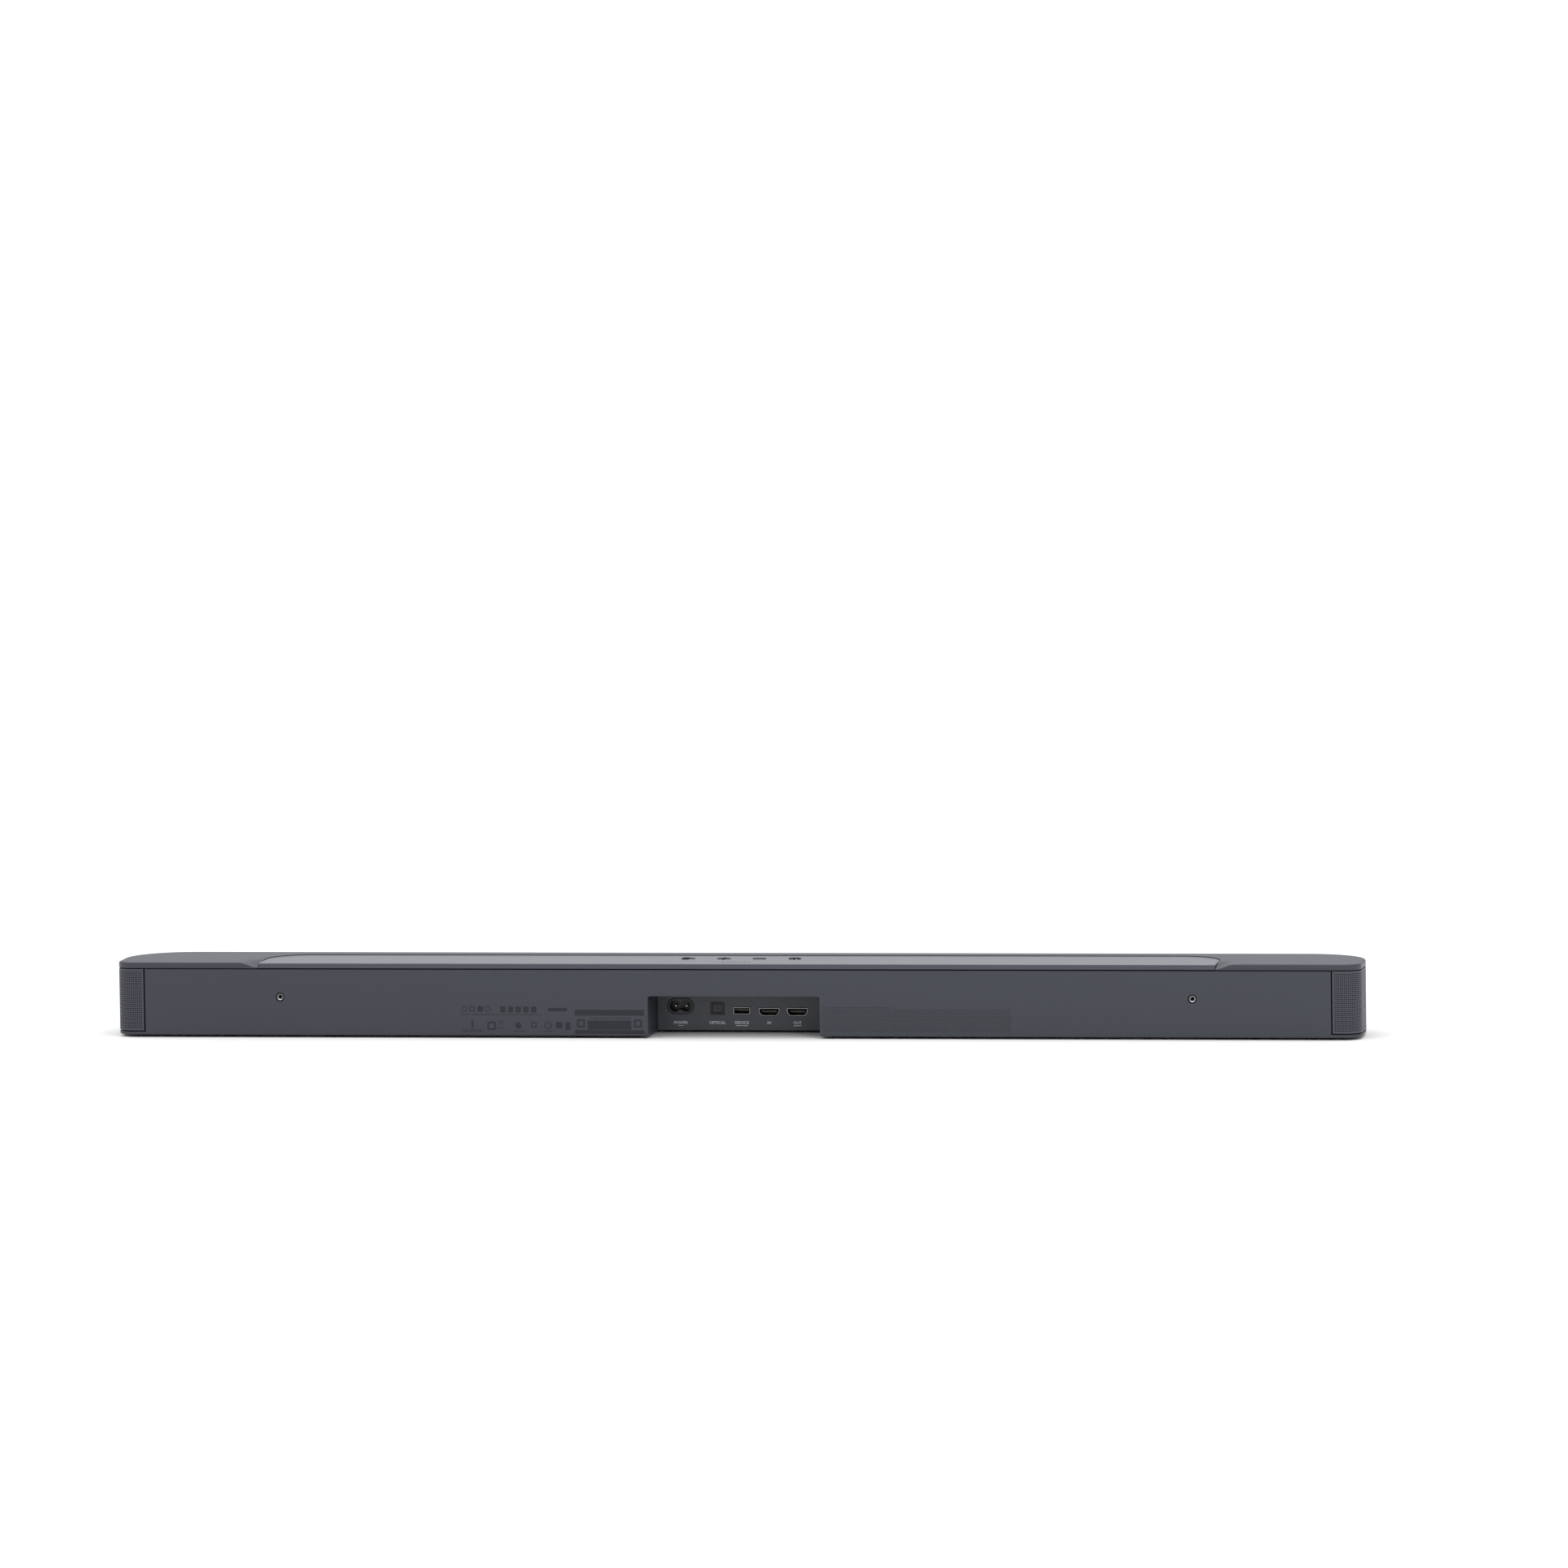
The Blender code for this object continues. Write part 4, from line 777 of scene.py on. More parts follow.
def fit(piece: bpy.types.Object, finish: Finish, body: str = "chassis",
        stands_for: Sequence[str] = ()) -> bpy.types.Object:
    """Dress a piece, put it on its body and hide the CAD nodes that it stands for.

    Args:
        piece: The finished object.
        finish: Its finish.
        body: The body that it rides on.
        stands_for: CAD nodes that it replaces.

    Returns:
        The same object.
    """
    piece.data.materials.clear()
    piece.data.materials.append(finish.material())
    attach(piece, body)
    if stands_for:
        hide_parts(*stands_for)
    LOG.info("%s: %d faces, rides on %s", piece.name, len(piece.data.polygons), body)
    return piece


def dress(finish: Finish, *nodes: str) -> None:
    """Give CAD nodes whose shape is kept their finish."""
    for node in nodes:
        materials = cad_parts[node].data.materials
        materials.clear()
        materials.append(finish.material())
        LOG.info("%s: CAD shape, dressed", node)


def middle(node: str) -> Array:
    """The middle of a CAD node's box."""
    low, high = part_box(node)
    return (np.array(low) + np.array(high)) / 2


def front_view(node: str) -> tuple[float, float, float, float]:
    """A CAD node's middle and size as seen along Y: x, z, width and height."""
    low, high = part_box(node)
    x, _, z = middle(node)
    return x, z, high.x - low.x, high.z - low.z


# ---------------------------------------------------------------- the case
@dataclass
class Case:
    """Tray with rear wall, and the cover with its end caps and scoops."""

    half_width: float = 0.4825
    half_depth: float = 0.0425
    rear_corner: float = 0.013
    front_corner: float = 0.048
    cover_low: float = 0.0535
    top: float = 0.058
    rounding: float = 0.0012
    support: float = 0.0003
    pocket_half: float = 0.3713
    pocket_front: float = -0.0243
    pocket_corner: float = 0.0343
    pocket_edge: float = 0.00025
    foot_edge: float = 0.00015
    scoop_length: float = 0.015
    scoop_reach: float = 0.030
    scoop_sink: float = 0.0036
    scoop_margin: float = 0.001
    plain_spans: tuple[tuple[float, float, int], ...] = ((0.0, 0.33, 12), (0.389, 0.43, 6))
    closest: float = 4e-5
    front_rows: int = 13
    end_rows: int = 37
    rear_crowding: float = 1.3
    ledge_top: float = 0.0548
    ledge_rear: float = 0.0400
    window: float = 0.0150
    post_radius: float = 0.0033
    pilot_radius: float = 0.0016
    seal_half: float = 0.4590
    seal_depth: float = 0.0022
    seal_y: float = 0.0386
    seal_height: float = 0.0040

    def sunk_top(self, x: Array, y: Array) -> Array:
        """Height of the cover's top: top - sink * f * g, each a half cosine from 1 to 0.

        f falls with the distance outwards from the deck's side over scoop_length, and g with
        the distance forwards from the rear edge over scoop_reach.

        Args:
            x: Places along the bar.
            y: Places across it.

        Returns:
            Heights.
        """
        out = np.clip((np.abs(x) - self.pocket_half) / self.scoop_length, 0, 1)
        away = np.clip((self.half_depth - y) / self.scoop_reach, 0, 1)
        fall = (1 + np.cos(math.pi * out)) * (1 + np.cos(math.pi * away)) / 4
        beside = np.abs(x) >= self.pocket_half - self.scoop_margin
        return self.top - self.scoop_sink * np.where(beside, fall, 0)

    def _columns(self, half: float, pocket: float) -> Array:
        """Places along X: close together on every arc and in the scoops, from -half to half.

        Args:
            half: Where the sheet ends.
            pocket: Where the deck's pocket ends.

        Returns:
            Rising places, the same on both sides of the middle.
        """
        turn = np.linspace(0, math.pi / 2, 25)
        inset = self.half_width - half
        rear_arc = half - (self.rear_corner - inset) * (1 - np.sin(turn[::2]))
        front_arc = half - (self.front_corner - inset) * (1 - np.sin(turn))
        pocket_arc = pocket - (self.pocket_corner + self.pocket_edge) * (1 - np.sin(turn))
        scoop = pocket + np.linspace(0, self.scoop_length, 26)
        plain = np.concatenate([np.linspace(*span) for span in self.plain_spans])
        every = np.concatenate([plain, pocket_arc, scoop, front_arc, rear_arc])
        one = np.unique(np.round(every, 7))
        one = one[(one <= half + TINY) & (np.diff(one, append=1.0) > self.closest)]
        one = np.union1d(one, [np.round(half, 7), np.round(pocket, 7)])
        return np.concatenate([-one[:0:-1], one])

    def _reach(self, x: Array, half: float, depth: float, corner: float) -> Array:
        """How far the plan outline reaches from the middle line, straight and then round.

        Args:
            x: Places along the bar.
            half: Half the outline's length.
            depth: Half its depth.
            corner: Radius of its corner.

        Returns:
            Distances, depth - corner + sqrt(corner^2 - past^2).
        """
        past = np.clip(np.abs(x) - (half - corner), 0, corner)
        return depth - corner + np.sqrt(np.maximum(corner**2 - past**2, 0))

    def cover(self) -> None:
        """The cover: a height field to the pocket's edge, walled all round and closed below.

        The sheet is three blocks of rows.  The rows in front of the pocket run from the front
        outline to it, and those beside it, at either end, run on to the rear outline.  The
        border is carried outwards through a quarter round, down and back under the sheet.
        """
        inset = self.rounding + self.support
        half, depth = self.half_width - inset, self.half_depth - inset
        pocket = round(self.pocket_half + self.pocket_edge, 7)
        x = self._columns(half, pocket)
        front = -self._reach(x, half, depth, self.front_corner - inset)
        rear = self._reach(x, half, depth, self.rear_corner - inset)
        corner = self.pocket_corner + self.pocket_edge
        lip = self.pocket_front - self.pocket_edge
        past = np.clip(np.abs(x) - (pocket - corner), 0, corner)
        split = lip + corner - np.sqrt(np.maximum(corner**2 - past**2, 0))
        ahead = front + (split - front) * np.linspace(0, 1, self.front_rows)[:, None]
        steps = 1 - (1 - np.linspace(0, 1, self.end_rows)[:, None]) ** self.rear_crowding
        skin = Skin()
        blocks = [(x, ahead)]
        for _, side in SIDES:
            keep = x * side >= pocket - TINY
            blocks.append((x[keep], split[keep] + (rear[keep] - split[keep]) * steps))
        for along, across in blocks:
            wide = np.broadcast_to(along, across.shape)
            skin.grid(Plane.LEVEL.place(wide, across, self.sunk_top(wide, across)))
            skin.grid(Plane.LEVEL.place(wide, across, self.cover_low))
        self._cover_border(skin, blocks)
        fit(skin.piece("top_cover_shell", smooth=50), SHELL, stands_for=["top_cover"])

    def _cover_border(self, skin: Skin, blocks: list[tuple[Array, Array]]) -> None:
        """Carry the cover's border through its rounds, down its walls and back underneath.

        Args:
            skin: The cover, with its sheets in place.
            blocks: The (x, y) blocks of the sheets: front, +X end and -X end.
        """
        (x, ahead), (x_plus, plus), (x_minus, minus) = blocks

        def line(along: Array | float, across: Array) -> Array:
            """Border points from places along and across the bar."""
            return np.stack(np.broadcast_arrays(along, across), axis=-1)

        outer = np.concatenate([
            line(x_plus, plus[-1]), line(x[-1], plus[-2::-1, -1]), line(x[-1], ahead[-2::-1, -1]),
            line(x[-2::-1], ahead[0, -2::-1]), line(x[0], ahead[1:, 0]), line(x[0], minus[1:, 0]),
            line(x_minus[1:], minus[-1, 1:])])
        inner = np.concatenate([
            line(x_minus[-1], minus[-2::-1, -1]), line(x, ahead[-1])[np.abs(x) < x_plus[0] - TINY],
            line(x_plus[0], plus[:-1, 0])])
        loop = np.concatenate([outer, inner])
        outside = np.arange(len(loop)) < len(outer)
        tangent = np.roll(loop, -1, axis=0) - np.roll(loop, 1, axis=0)
        tangent /= np.linalg.norm(tangent, axis=1, keepdims=True)
        normal = np.stack([-tangent[:, 1], tangent[:, 0]], axis=-1)
        height = self.sunk_top(*loop.T)
        turn = np.linspace(0, math.pi / 2, 6)
        widths = {True: (self.support, self.rounding), False: (0.0, self.pocket_edge)}
        rings = []
        steps = [(0.0, 0.0, 0.0), (1.0, 0.0, 0.0)]
        steps += [(1.0, math.sin(a), 1 - math.cos(a)) for a in turn[1:]]
        for flat, out, drop in steps:
            reach = {key: flat * first + out * second for key, (first, second) in widths.items()}
            scale = np.where(outside, self.rounding, self.pocket_edge)
            scale = np.minimum(scale, 0.4 * (height - self.cover_low))
            rings.append(self._ring(loop, normal, outside, reach, height - drop * scale))
        full = {key: first + second for key, (first, second) in widths.items()}
        foot = {key: value - self.foot_edge for key, value in full.items()}
        low = np.full(len(loop), self.cover_low)
        rings.append(self._ring(loop, normal, outside, full, low + self.foot_edge))
        rings.append(self._ring(loop, normal, outside, foot, low))
        rings.append(self._ring(loop, normal, outside, {True: 0.0, False: 0.0}, low))
        skin.grid(np.stack(rings), around=True)

    @staticmethod
    def _ring(loop: Array, normal: Array, outside: Array, reach: dict[bool, float],
              height: Array) -> Array:
        """The border moved out by its own reach; the two rear corners take both sides' reach.

        Args:
            loop: Points of the border.
            normal: Outward normal at each point.
            outside: Which points lie on the outer outline; the others are the pocket's.
            reach: How far those and the others move.
            height: Height of each point.

        Returns:
            The moved border, in the model.
        """
        move = normal * np.where(outside, reach[True], reach[False])[:, None]
        last = np.count_nonzero(outside) - 1
        move[0] = (-reach[False], reach[True])
        move[last] = (reach[False], reach[True])
        return Plane.LEVEL.place(*(loop + move).T, height)

    def ledge(self) -> None:
        """The ledge that the deck lies on, its key windows, and the posts that hang from it."""
        turn = self.pocket_half - self.pocket_corner
        shape = np.concatenate([
            [(self.pocket_half, self.ledge_rear), (-self.pocket_half, self.ledge_rear)],
            arc((-turn, self.pocket_front + self.pocket_corner), self.pocket_corner, 180, 270, 16),
            arc((turn, self.pocket_front + self.pocket_corner), self.pocket_corner, 270, 360, 16)])
        windows = [rounded_box(self.window, self.window, 0.0008, (middle(key)[0], 0.0))
                   for key in KEY_NODES]
        skin = Skin().plate(offset(shape, -0.0002), self.cover_low, self.ledge_top, Plane.LEVEL,
                            windows, edge=FINE_EDGE)
        bore = self.pilot_radius
        for screw in SCREW_NODES:
            x, y, _ = middle(screw)
            low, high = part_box(screw)[0].z + 0.0046, self.cover_low + 0.0002
            profile = [(self.post_radius, low), (self.post_radius, high), (bore, high), (bore, low)]
            skin.turned(profile, (x, y), Plane.LEVEL, 24, ring=True)
        fit(skin.piece("deck_ledge"), SHELL)

    def seal(self) -> None:
        """A foam strip under the cover, just inside the rear wall, that keeps light out."""
        strip = rounded_box(2 * self.seal_half, self.seal_depth, 0.0008, (0.0, self.seal_y))
        low, high = self.cover_low - self.seal_height, self.cover_low - 0.00005
        skin = Skin().plate(strip, low, high, Plane.LEVEL, edge=0.0003)
        fit(skin.piece("cover_seal"), INNER)

    def tray(self) -> None:
        """The tray: floor, rear wall and the hood over the connector bay, edges softened."""
        fit(soften_cad("rear_housing", "tray_and_rear_wall", 0.0003, 3), SHELL,
            stands_for=["rear_housing"])

    def build(self) -> None:
        """Make the whole case."""
        self.cover()
        self.ledge()
        self.seal()
        self.tray()
        dress(INNER, "left_end_frame", "right_end_frame", "front_baffle")


# ---------------------------------------------------------------- deck and keys
class Icon(Enum):
    """The raised sign on each key."""

    SOURCE = "key_source"
    PLUS = "key_volume_up"
    MINUS = "key_volume_down"
    POWER = "key_power"

    def outlines(self) -> list[Array]:
        """The sign's strokes about the key's middle, as seen from the listening side."""
        if self is Icon.MINUS:
            return [rounded_box(0.0100, 0.0018, 0.0003, steps=3)]
        if self is Icon.PLUS:
            return [cross(0.0050, 0.0009)]
        if self is Icon.POWER:
            ring = np.concatenate([arc((0, 0), 0.0047, 130, 410, 40),
                                   arc((0, 0), 0.0032, 410, 130, 40)])
            return [ring, rounded_box(0.0014, 0.0042, 0.0003, (0, 0.0034), 3)]
        bracket = [(-0.0004, 0.0030), (0.0034, 0.0030), (0.0034, -0.0030), (-0.0004, -0.0030),
                   (-0.0004, -0.0044), (0.0048, -0.0044), (0.0048, 0.0044), (-0.0004, 0.0044)]
        arrow = [(-0.0050, -0.0007), (-0.0010, -0.0007), (-0.0010, -0.0021), (0.0020, 0.0),
                 (-0.0010, 0.0021), (-0.0010, 0.0007), (-0.0050, 0.0007)]
        return [np.array(bracket), np.array(arrow)]


@dataclass
class DeckAndKeys:
    """The inlaid satin deck and the four push keys whose signs rise through it."""

    half: float = 0.371
    front: float = -0.024
    rear: float = 0.0425
    corner: float = 0.034
    rounding: float = 0.0010
    thickness: float = 0.0026
    lip: float = 0.0022
    lip_slope: float = 0.00005
    clearance: float = 0.00025
    window_edge: float = 0.00008
    key_edge: float = 0.00014
    flange: float = 0.0009
    flange_corner: float = 0.001
    overlap: float = 0.0002

    def _outline(self) -> Array:
        """The deck from above: a straight rear edge, then its lip's ends, then two wide arcs."""
        turn, lip, step = self.half - self.corner, self.rear - self.lip, self.lip_slope
        return np.concatenate([
            [(self.half, lip), (self.half, self.rear), (-self.half, self.rear),
             (-self.half, lip), (-self.half, lip - step)],
            arc((-turn, self.front + self.corner), self.corner, 180, 270, 32),
            arc((turn, self.front + self.corner), self.corner, 270, 360, 32),
            [(self.half, lip - step)]])

    def _deck(self) -> None:
        """The deck slab, pierced for every stroke, its rear edge turned down into a lip."""
        low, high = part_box("top_deck")
        under = high.z - self.thickness
        shape = self._outline()
        foot = np.full(len(shape), under)
        foot[:4] = low.z
        round_over = [step for step in edge_levels(under, high.z, self.rounding, 6)
                      if step[0] > high.z - self.rounding - TINY]
        rings = [Plane.LEVEL.place(*shape.T, foot)]
        rings += [Plane.LEVEL.place(*offset(shape, -inset).T, height)
                  for height, inset in round_over]
        skin = Skin().grid(np.stack(rings), around=True)
        floor, roof = [rings[0][4:]], [rings[-1]]
        for icon in Icon:
            for stroke in icon.outlines():
                hole = offset(stroke, self.clearance) + (middle(icon.value)[0], 0.0)
                wall = np.stack([Plane.LEVEL.place(*offset(hole, inset).T, height)
                                 for height, inset in edge_levels(under, high.z,
                                                                  self.window_edge, 2)])
                skin.grid(wall, around=True)
                floor.append(wall[0])
                roof.append(wall[-1])
        skin.fill(floor).fill(roof)
        for lip_face in (rings[0][:4], rings[0][[0, 3, 4, -1]]):
            skin.add(lip_face, [np.arange(4)[None]])
        fit(skin.piece("inlaid_deck", smooth=35), DECK, stands_for=["top_deck"])

    def _key(self, icon: Icon) -> None:
        """One key: its flange under the deck and its raised strokes.

        Args:
            icon: The key's sign, which names its node too.
        """
        low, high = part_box(icon.value)
        x = middle(icon.value)[0]
        top = low.z + self.flange
        flange = rounded_box(high.x - low.x, high.y - low.y, self.flange_corner, (x, 0.0))
        skin = Skin().plate(flange, low.z, top, Plane.LEVEL, edge=FINE_EDGE)
        for stroke in icon.outlines():
            skin.plate(stroke + (x, 0.0), top - self.overlap, high.z, Plane.LEVEL,
                       edge=self.key_edge)
        fit(skin.piece(f"{icon.value}_cap", smooth=50), KEY, icon.value, [icon.value])

    def build(self) -> None:
        """Make the deck and its keys."""
        self._deck()
        for icon in Icon:
            self._key(icon)


# ---------------------------------------------------------------- the grille
@dataclass
class WrapGrille:
    """The perforated sheet from one rear seam round both ends and the front to the other.

    A point of the sheet is its distance s along the plan outline, its height z and its depth d
    below the outer face: P(s) - d N(s), with P and N the outline and its outward normal.
    """

    case: Case = field(default_factory=Case)
    seam_x: float = 0.4611
    thickness: float = 0.0008
    pitch: float = 0.0015
    hole_width: float = 0.00054
    hole_height: float = 0.00043
    rim: float = 0.0012
    end_columns: int = 82
    front_pieces: int = 4

    def _path(self) -> tuple[Array, Array, Array]:
        """Distances along the outline, its points and its outward normals, finely sampled."""
        c = self.case
        rear = (c.half_width - c.rear_corner, c.half_depth - c.rear_corner)
        front = (c.half_width - c.front_corner, c.front_corner - c.half_depth)
        one = np.concatenate([[(self.seam_x, c.half_depth)], arc(rear, c.rear_corner, 90, 0, 60),
                              arc(front, c.front_corner, 0, -90, 120)])
        turn = np.radians(np.concatenate([[90], np.linspace(90, 0, 61), np.linspace(0, -90, 121)]))
        side = np.stack([np.cos(turn), np.sin(turn)], axis=-1)
        mirror = np.array([-1.0, 1.0])
        points = np.concatenate([one, one[::-1] * mirror])
        normals = np.concatenate([side, side[::-1] * mirror])
        step = np.linalg.norm(np.diff(points, axis=0), axis=1)
        return np.concatenate([[0.0], np.cumsum(step)]), points, normals

    def _sheet(self, s: Array, z: Array, depth: float) -> Array:
        """Points of the sheet, P(s) - depth N(s).

        Args:
            s: Distances along the outline.
            z: Heights.
            depth: Depth below the outer face.

        Returns:
            The points, in the shape of s and z.
        """
        along, points, normals = self._path()
        x, y = (np.interp(s, along, points[:, axis]) for axis in (0, 1))
        out_x, out_y = (np.interp(s, along, normals[:, axis]) for axis in (0, 1))
        length = np.hypot(out_x, out_y)
        return np.stack([x - depth * out_x / length, y - depth * out_y / length,
                         z + 0 * s], axis=-1)

    def _section(self, name: str, s: Array, z: Array, solid_ends: tuple[bool, bool]) -> None:
        """One closed stretch of sheet, its cells pierced but for rims.

        Each cell is its four corners, shared with its neighbours, round an eight-sided hole
        whose points stand at 22.5 + 45 k degrees: four corner triangles and four quads on
        each face, and eight quads through the sheet.

        Args:
            name: The piece's name.
            s: Distances of the cell borders.
            z: Heights of the cell borders.
            solid_ends: Whether the first and last columns are plain rims.
        """
        rows, columns = len(z) - 1, len(s) - 1
        wide, high = np.meshgrid(s, z)
        front, back = self._sheet(wide, high, 0.0), self._sheet(wide, high, self.thickness)
        sheet = (rows + 1) * (columns + 1)
        number = np.arange(sheet).reshape(rows + 1, columns + 1)
        quad = np.stack([number[:-1, :-1], number[:-1, 1:], number[1:, 1:], number[1:, :-1]], -1)
        pierced = np.ones((rows, columns), bool)
        pierced[[0, -1]] = False
        if solid_ends[0]:
            pierced[:, 0] = False
        if solid_ends[1]:
            pierced[:, -1] = False
        solid, holed = quad[~pierced], quad[pierced]
        row, column = np.nonzero(pierced)
        turn = np.radians(22.5 + 45 * np.arange(8))
        centre_s, centre_z = (s[column] + s[column + 1]) / 2, (z[row] + z[row + 1]) / 2
        hole_s = centre_s[:, None] + self.hole_width * np.cos(turn)
        hole_z = centre_z[:, None] + self.hole_height * np.sin(turn)
        rings = [self._sheet(hole_s, hole_z, depth) for depth in (0.0, self.thickness)]
        points = np.concatenate([part.reshape(-1, 3) for part in (front, back, *rings)])
        ring = 2 * sheet + np.arange(hole_s.size).reshape(-1, 8)
        behind = ring + hole_s.size
        corner = holed[:, [2, 3, 0, 1]]
        threes, fours = [], [solid[:, ::-1], solid + sheet]
        for k in range(4):
            near, far, beyond = 2 * k, 2 * k + 1, (2 * k + 2) % 8
            c, d = corner[:, k], corner[:, (k + 1) % 4]
            threes.append(np.stack([c, ring[:, near], ring[:, far]], -1))
            threes.append(np.stack([c + sheet, behind[:, far], behind[:, near]], -1))
            fours.append(np.stack([c, ring[:, far], ring[:, beyond], d], -1))
            fours.append(np.stack([c + sheet, d + sheet, behind[:, beyond], behind[:, far]], -1))
        after = np.roll(np.arange(8), -1)
        fours.append(np.stack([ring, behind, behind[:, after], ring[:, after]], -1).reshape(-1, 4))
        for line, flip in ((number[0], False), (number[-1], True),
                           (number[:, 0], True), (number[:, -1], False)):
            strip = np.stack([line[:-1], line[1:], line[1:] + sheet, line[:-1] + sheet], -1)
            fours.append(strip[:, ::-1] if flip else strip)
        skin = Skin().add(points, [np.concatenate(threes), np.concatenate(fours)])
        fit(skin.piece(name, smooth=35, mend=False), GRILLE, stands_for=["wrap_grille"])

    def build(self) -> None:
        """Cut the outline's length into cells, and the cells into pieces."""
        low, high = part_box("wrap_grille")
        total = self._path()[0][-1]
        count = round((total - 2 * self.rim) / self.pitch)
        s = np.concatenate([[0.0], np.linspace(self.rim, total - self.rim, count + 1), [total]])
        rows = round((high.z - low.z - 2 * self.rim) / self.pitch)
        z = np.concatenate([[low.z], np.linspace(low.z + self.rim, high.z - self.rim, rows + 1),
                            [high.z]])
        last = len(s) - 1
        cuts = np.linspace(self.end_columns, last - self.end_columns,
                           self.front_pieces + 1).round().astype(int)
        spans = [("grille_left_end", 0, cuts[0], (True, False))]
        spans += [(f"grille_front_{index + 1}", first, second, (False, False))
                  for index, (first, second) in enumerate(zip(cuts, cuts[1:]))]
        spans.append(("grille_right_end", cuts[-1], last, (False, True)))
        for name, first, second, ends in spans:
            self._section(name, s[first:second + 1], z, ends)


# ---------------------------------------------------------------- feet, screws and inserts
@dataclass
class Fasteners:
    """Rubber feet, case screws and the threaded wall-mount inserts."""

    foot_corner: float = 0.004
    foot_ribs: int = 8
    rib_height: float = 0.0005
    rib_width: float = 0.0028
    rib_margin: float = 0.006
    head_radius: float = 0.0029
    head_height: float = 0.0015
    shank_radius: float = 0.0013
    recess_depth: float = 0.0010
    recess_reach: float = 0.0015
    recess_half: float = 0.00038
    screw_pitch: float = 0.0009
    screw_thread: float = 0.0003
    screw_tip: float = 0.0016
    insert_radius: float = 0.0032
    bore: float = 0.00175
    thread_pitch: float = 0.0007
    thread_depth: float = 0.00022

    def _foot(self, label: str) -> None:
        """A pad with cross ribs; the ribs' faces are what it stands on.

        Args:
            label: Which end it is at.
        """
        node = f"{label}_foot"
        low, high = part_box(node)
        x, y, _ = middle(node)
        wide, deep = high.x - low.x, high.y - low.y
        pad = rounded_box(wide, deep, self.foot_corner, (x, y), 8)
        skin = Skin().plate(pad, low.z + self.rib_height, high.z, Plane.LEVEL, edge=0.0004)
        margin = self.rib_margin
        for place in np.linspace(low.y + margin, high.y - margin, self.foot_ribs):
            rib = rounded_box(wide - 0.005, self.rib_width, 0.0012, (x, place))
            skin.plate(rib, low.z, low.z + self.rib_height + 0.0002, Plane.LEVEL, edge=0.0002)
        fit(skin.piece(f"{label}_foot_pad"), RUBBER, stands_for=[node])

    def _screw(self, node: str) -> None:
        """A case screw: head with a cross recess, and a shank with a thread.

        The shank's radius at a rise h is (r - depth (1 - cos(2 pi h / pitch)) / 2), and it
        tapers to nothing over the tip.

        Args:
            node: The screw's CAD node.
        """
        low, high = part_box(node)
        x, y, _ = middle(node)
        recess = cross(self.recess_reach, self.recess_half) + (x, y)
        floor = low.z + self.recess_depth
        head = circle(self.head_radius, (x, y))
        skin = Skin().plate(head, low.z, floor, Plane.LEVEL, [recess], edge=0.0003,
                            hole_edge=0.00006)
        skin.plate(head, floor, low.z + self.head_height, Plane.LEVEL, edge=0.00003)
        start = low.z + self.head_height
        rise = np.linspace(0, high.z - start, 90)
        wave = 0.5 + 0.5 * np.cos(2 * math.pi * rise / self.screw_pitch)
        taper = np.clip((high.z - start - rise) / self.screw_tip, 0, 1)
        radius = (self.shank_radius - self.screw_thread * (1 - wave)) * taper
        profile = np.stack([radius, start + rise], axis=-1)
        skin.turned(np.concatenate([[(0.0, start - 0.0001)], profile]), (x, y), Plane.LEVEL, 20)
        fit(skin.piece(f"{node}_cross_head"), ZINC, stands_for=[node])

    def _insert(self, label: str) -> None:
        """A threaded insert: bore radius r - depth * tri(y / pitch - a / 2 pi), round angle a.

        Args:
            label: Which end it is at.
        """
        node = f"{label}_mount_insert"
        low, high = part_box(node)
        x, _, z = middle(node)
        back, front = low.y, high.y
        outer, flat, countersink = self.insert_radius, 0.0004, 0.0006
        profile = [(outer - flat, front), (outer, front - flat), (outer, back + flat),
                   (outer - flat, back), (0.0, back)]
        mouth = self.bore + countersink
        angle = np.linspace(0, 2 * math.pi, 40, endpoint=False)

        def ring(radius: Array | float, y: Array | float) -> Array:
            """Circles of those radii about the bore's axis, at depths y."""
            return Plane.UPRIGHT.place(x + radius * np.cos(angle), z + radius * np.sin(angle),
                                       y + 0 * angle)

        depth = np.linspace(front - countersink, back + countersink, 88)[:, None]
        share = (depth / self.thread_pitch - angle / (2 * math.pi)) % 1.0
        thread = ring(self.bore - self.thread_depth * (1 - np.abs(2 * share - 1)), depth)
        skin = Skin().turned(profile, (x, z), Plane.UPRIGHT, 40)
        skin.grid(np.stack([ring(outer - flat, front), ring(mouth, front),
                            ring(mouth, back + flat), ring(0.0, back + flat)]), around=True)
        fit(skin.piece(f"{label}_threaded_insert"), BLACK_STEEL, stands_for=[node])
        floor = back + countersink
        closing = [ring(0.0, floor), ring(mouth, floor), ring(mouth, front)]
        skin = Skin().grid(np.concatenate([[ring(mouth, front)], thread, closing]), around=True)
        fit(skin.piece(f"{label}_thread"), CUT_THREAD)

    def build(self) -> None:
        """Make both feet, both inserts and the four screws."""
        for label, _ in SIDES:
            self._foot(label)
            self._insert(label)
        for node in SCREW_NODES:
            self._screw(node)


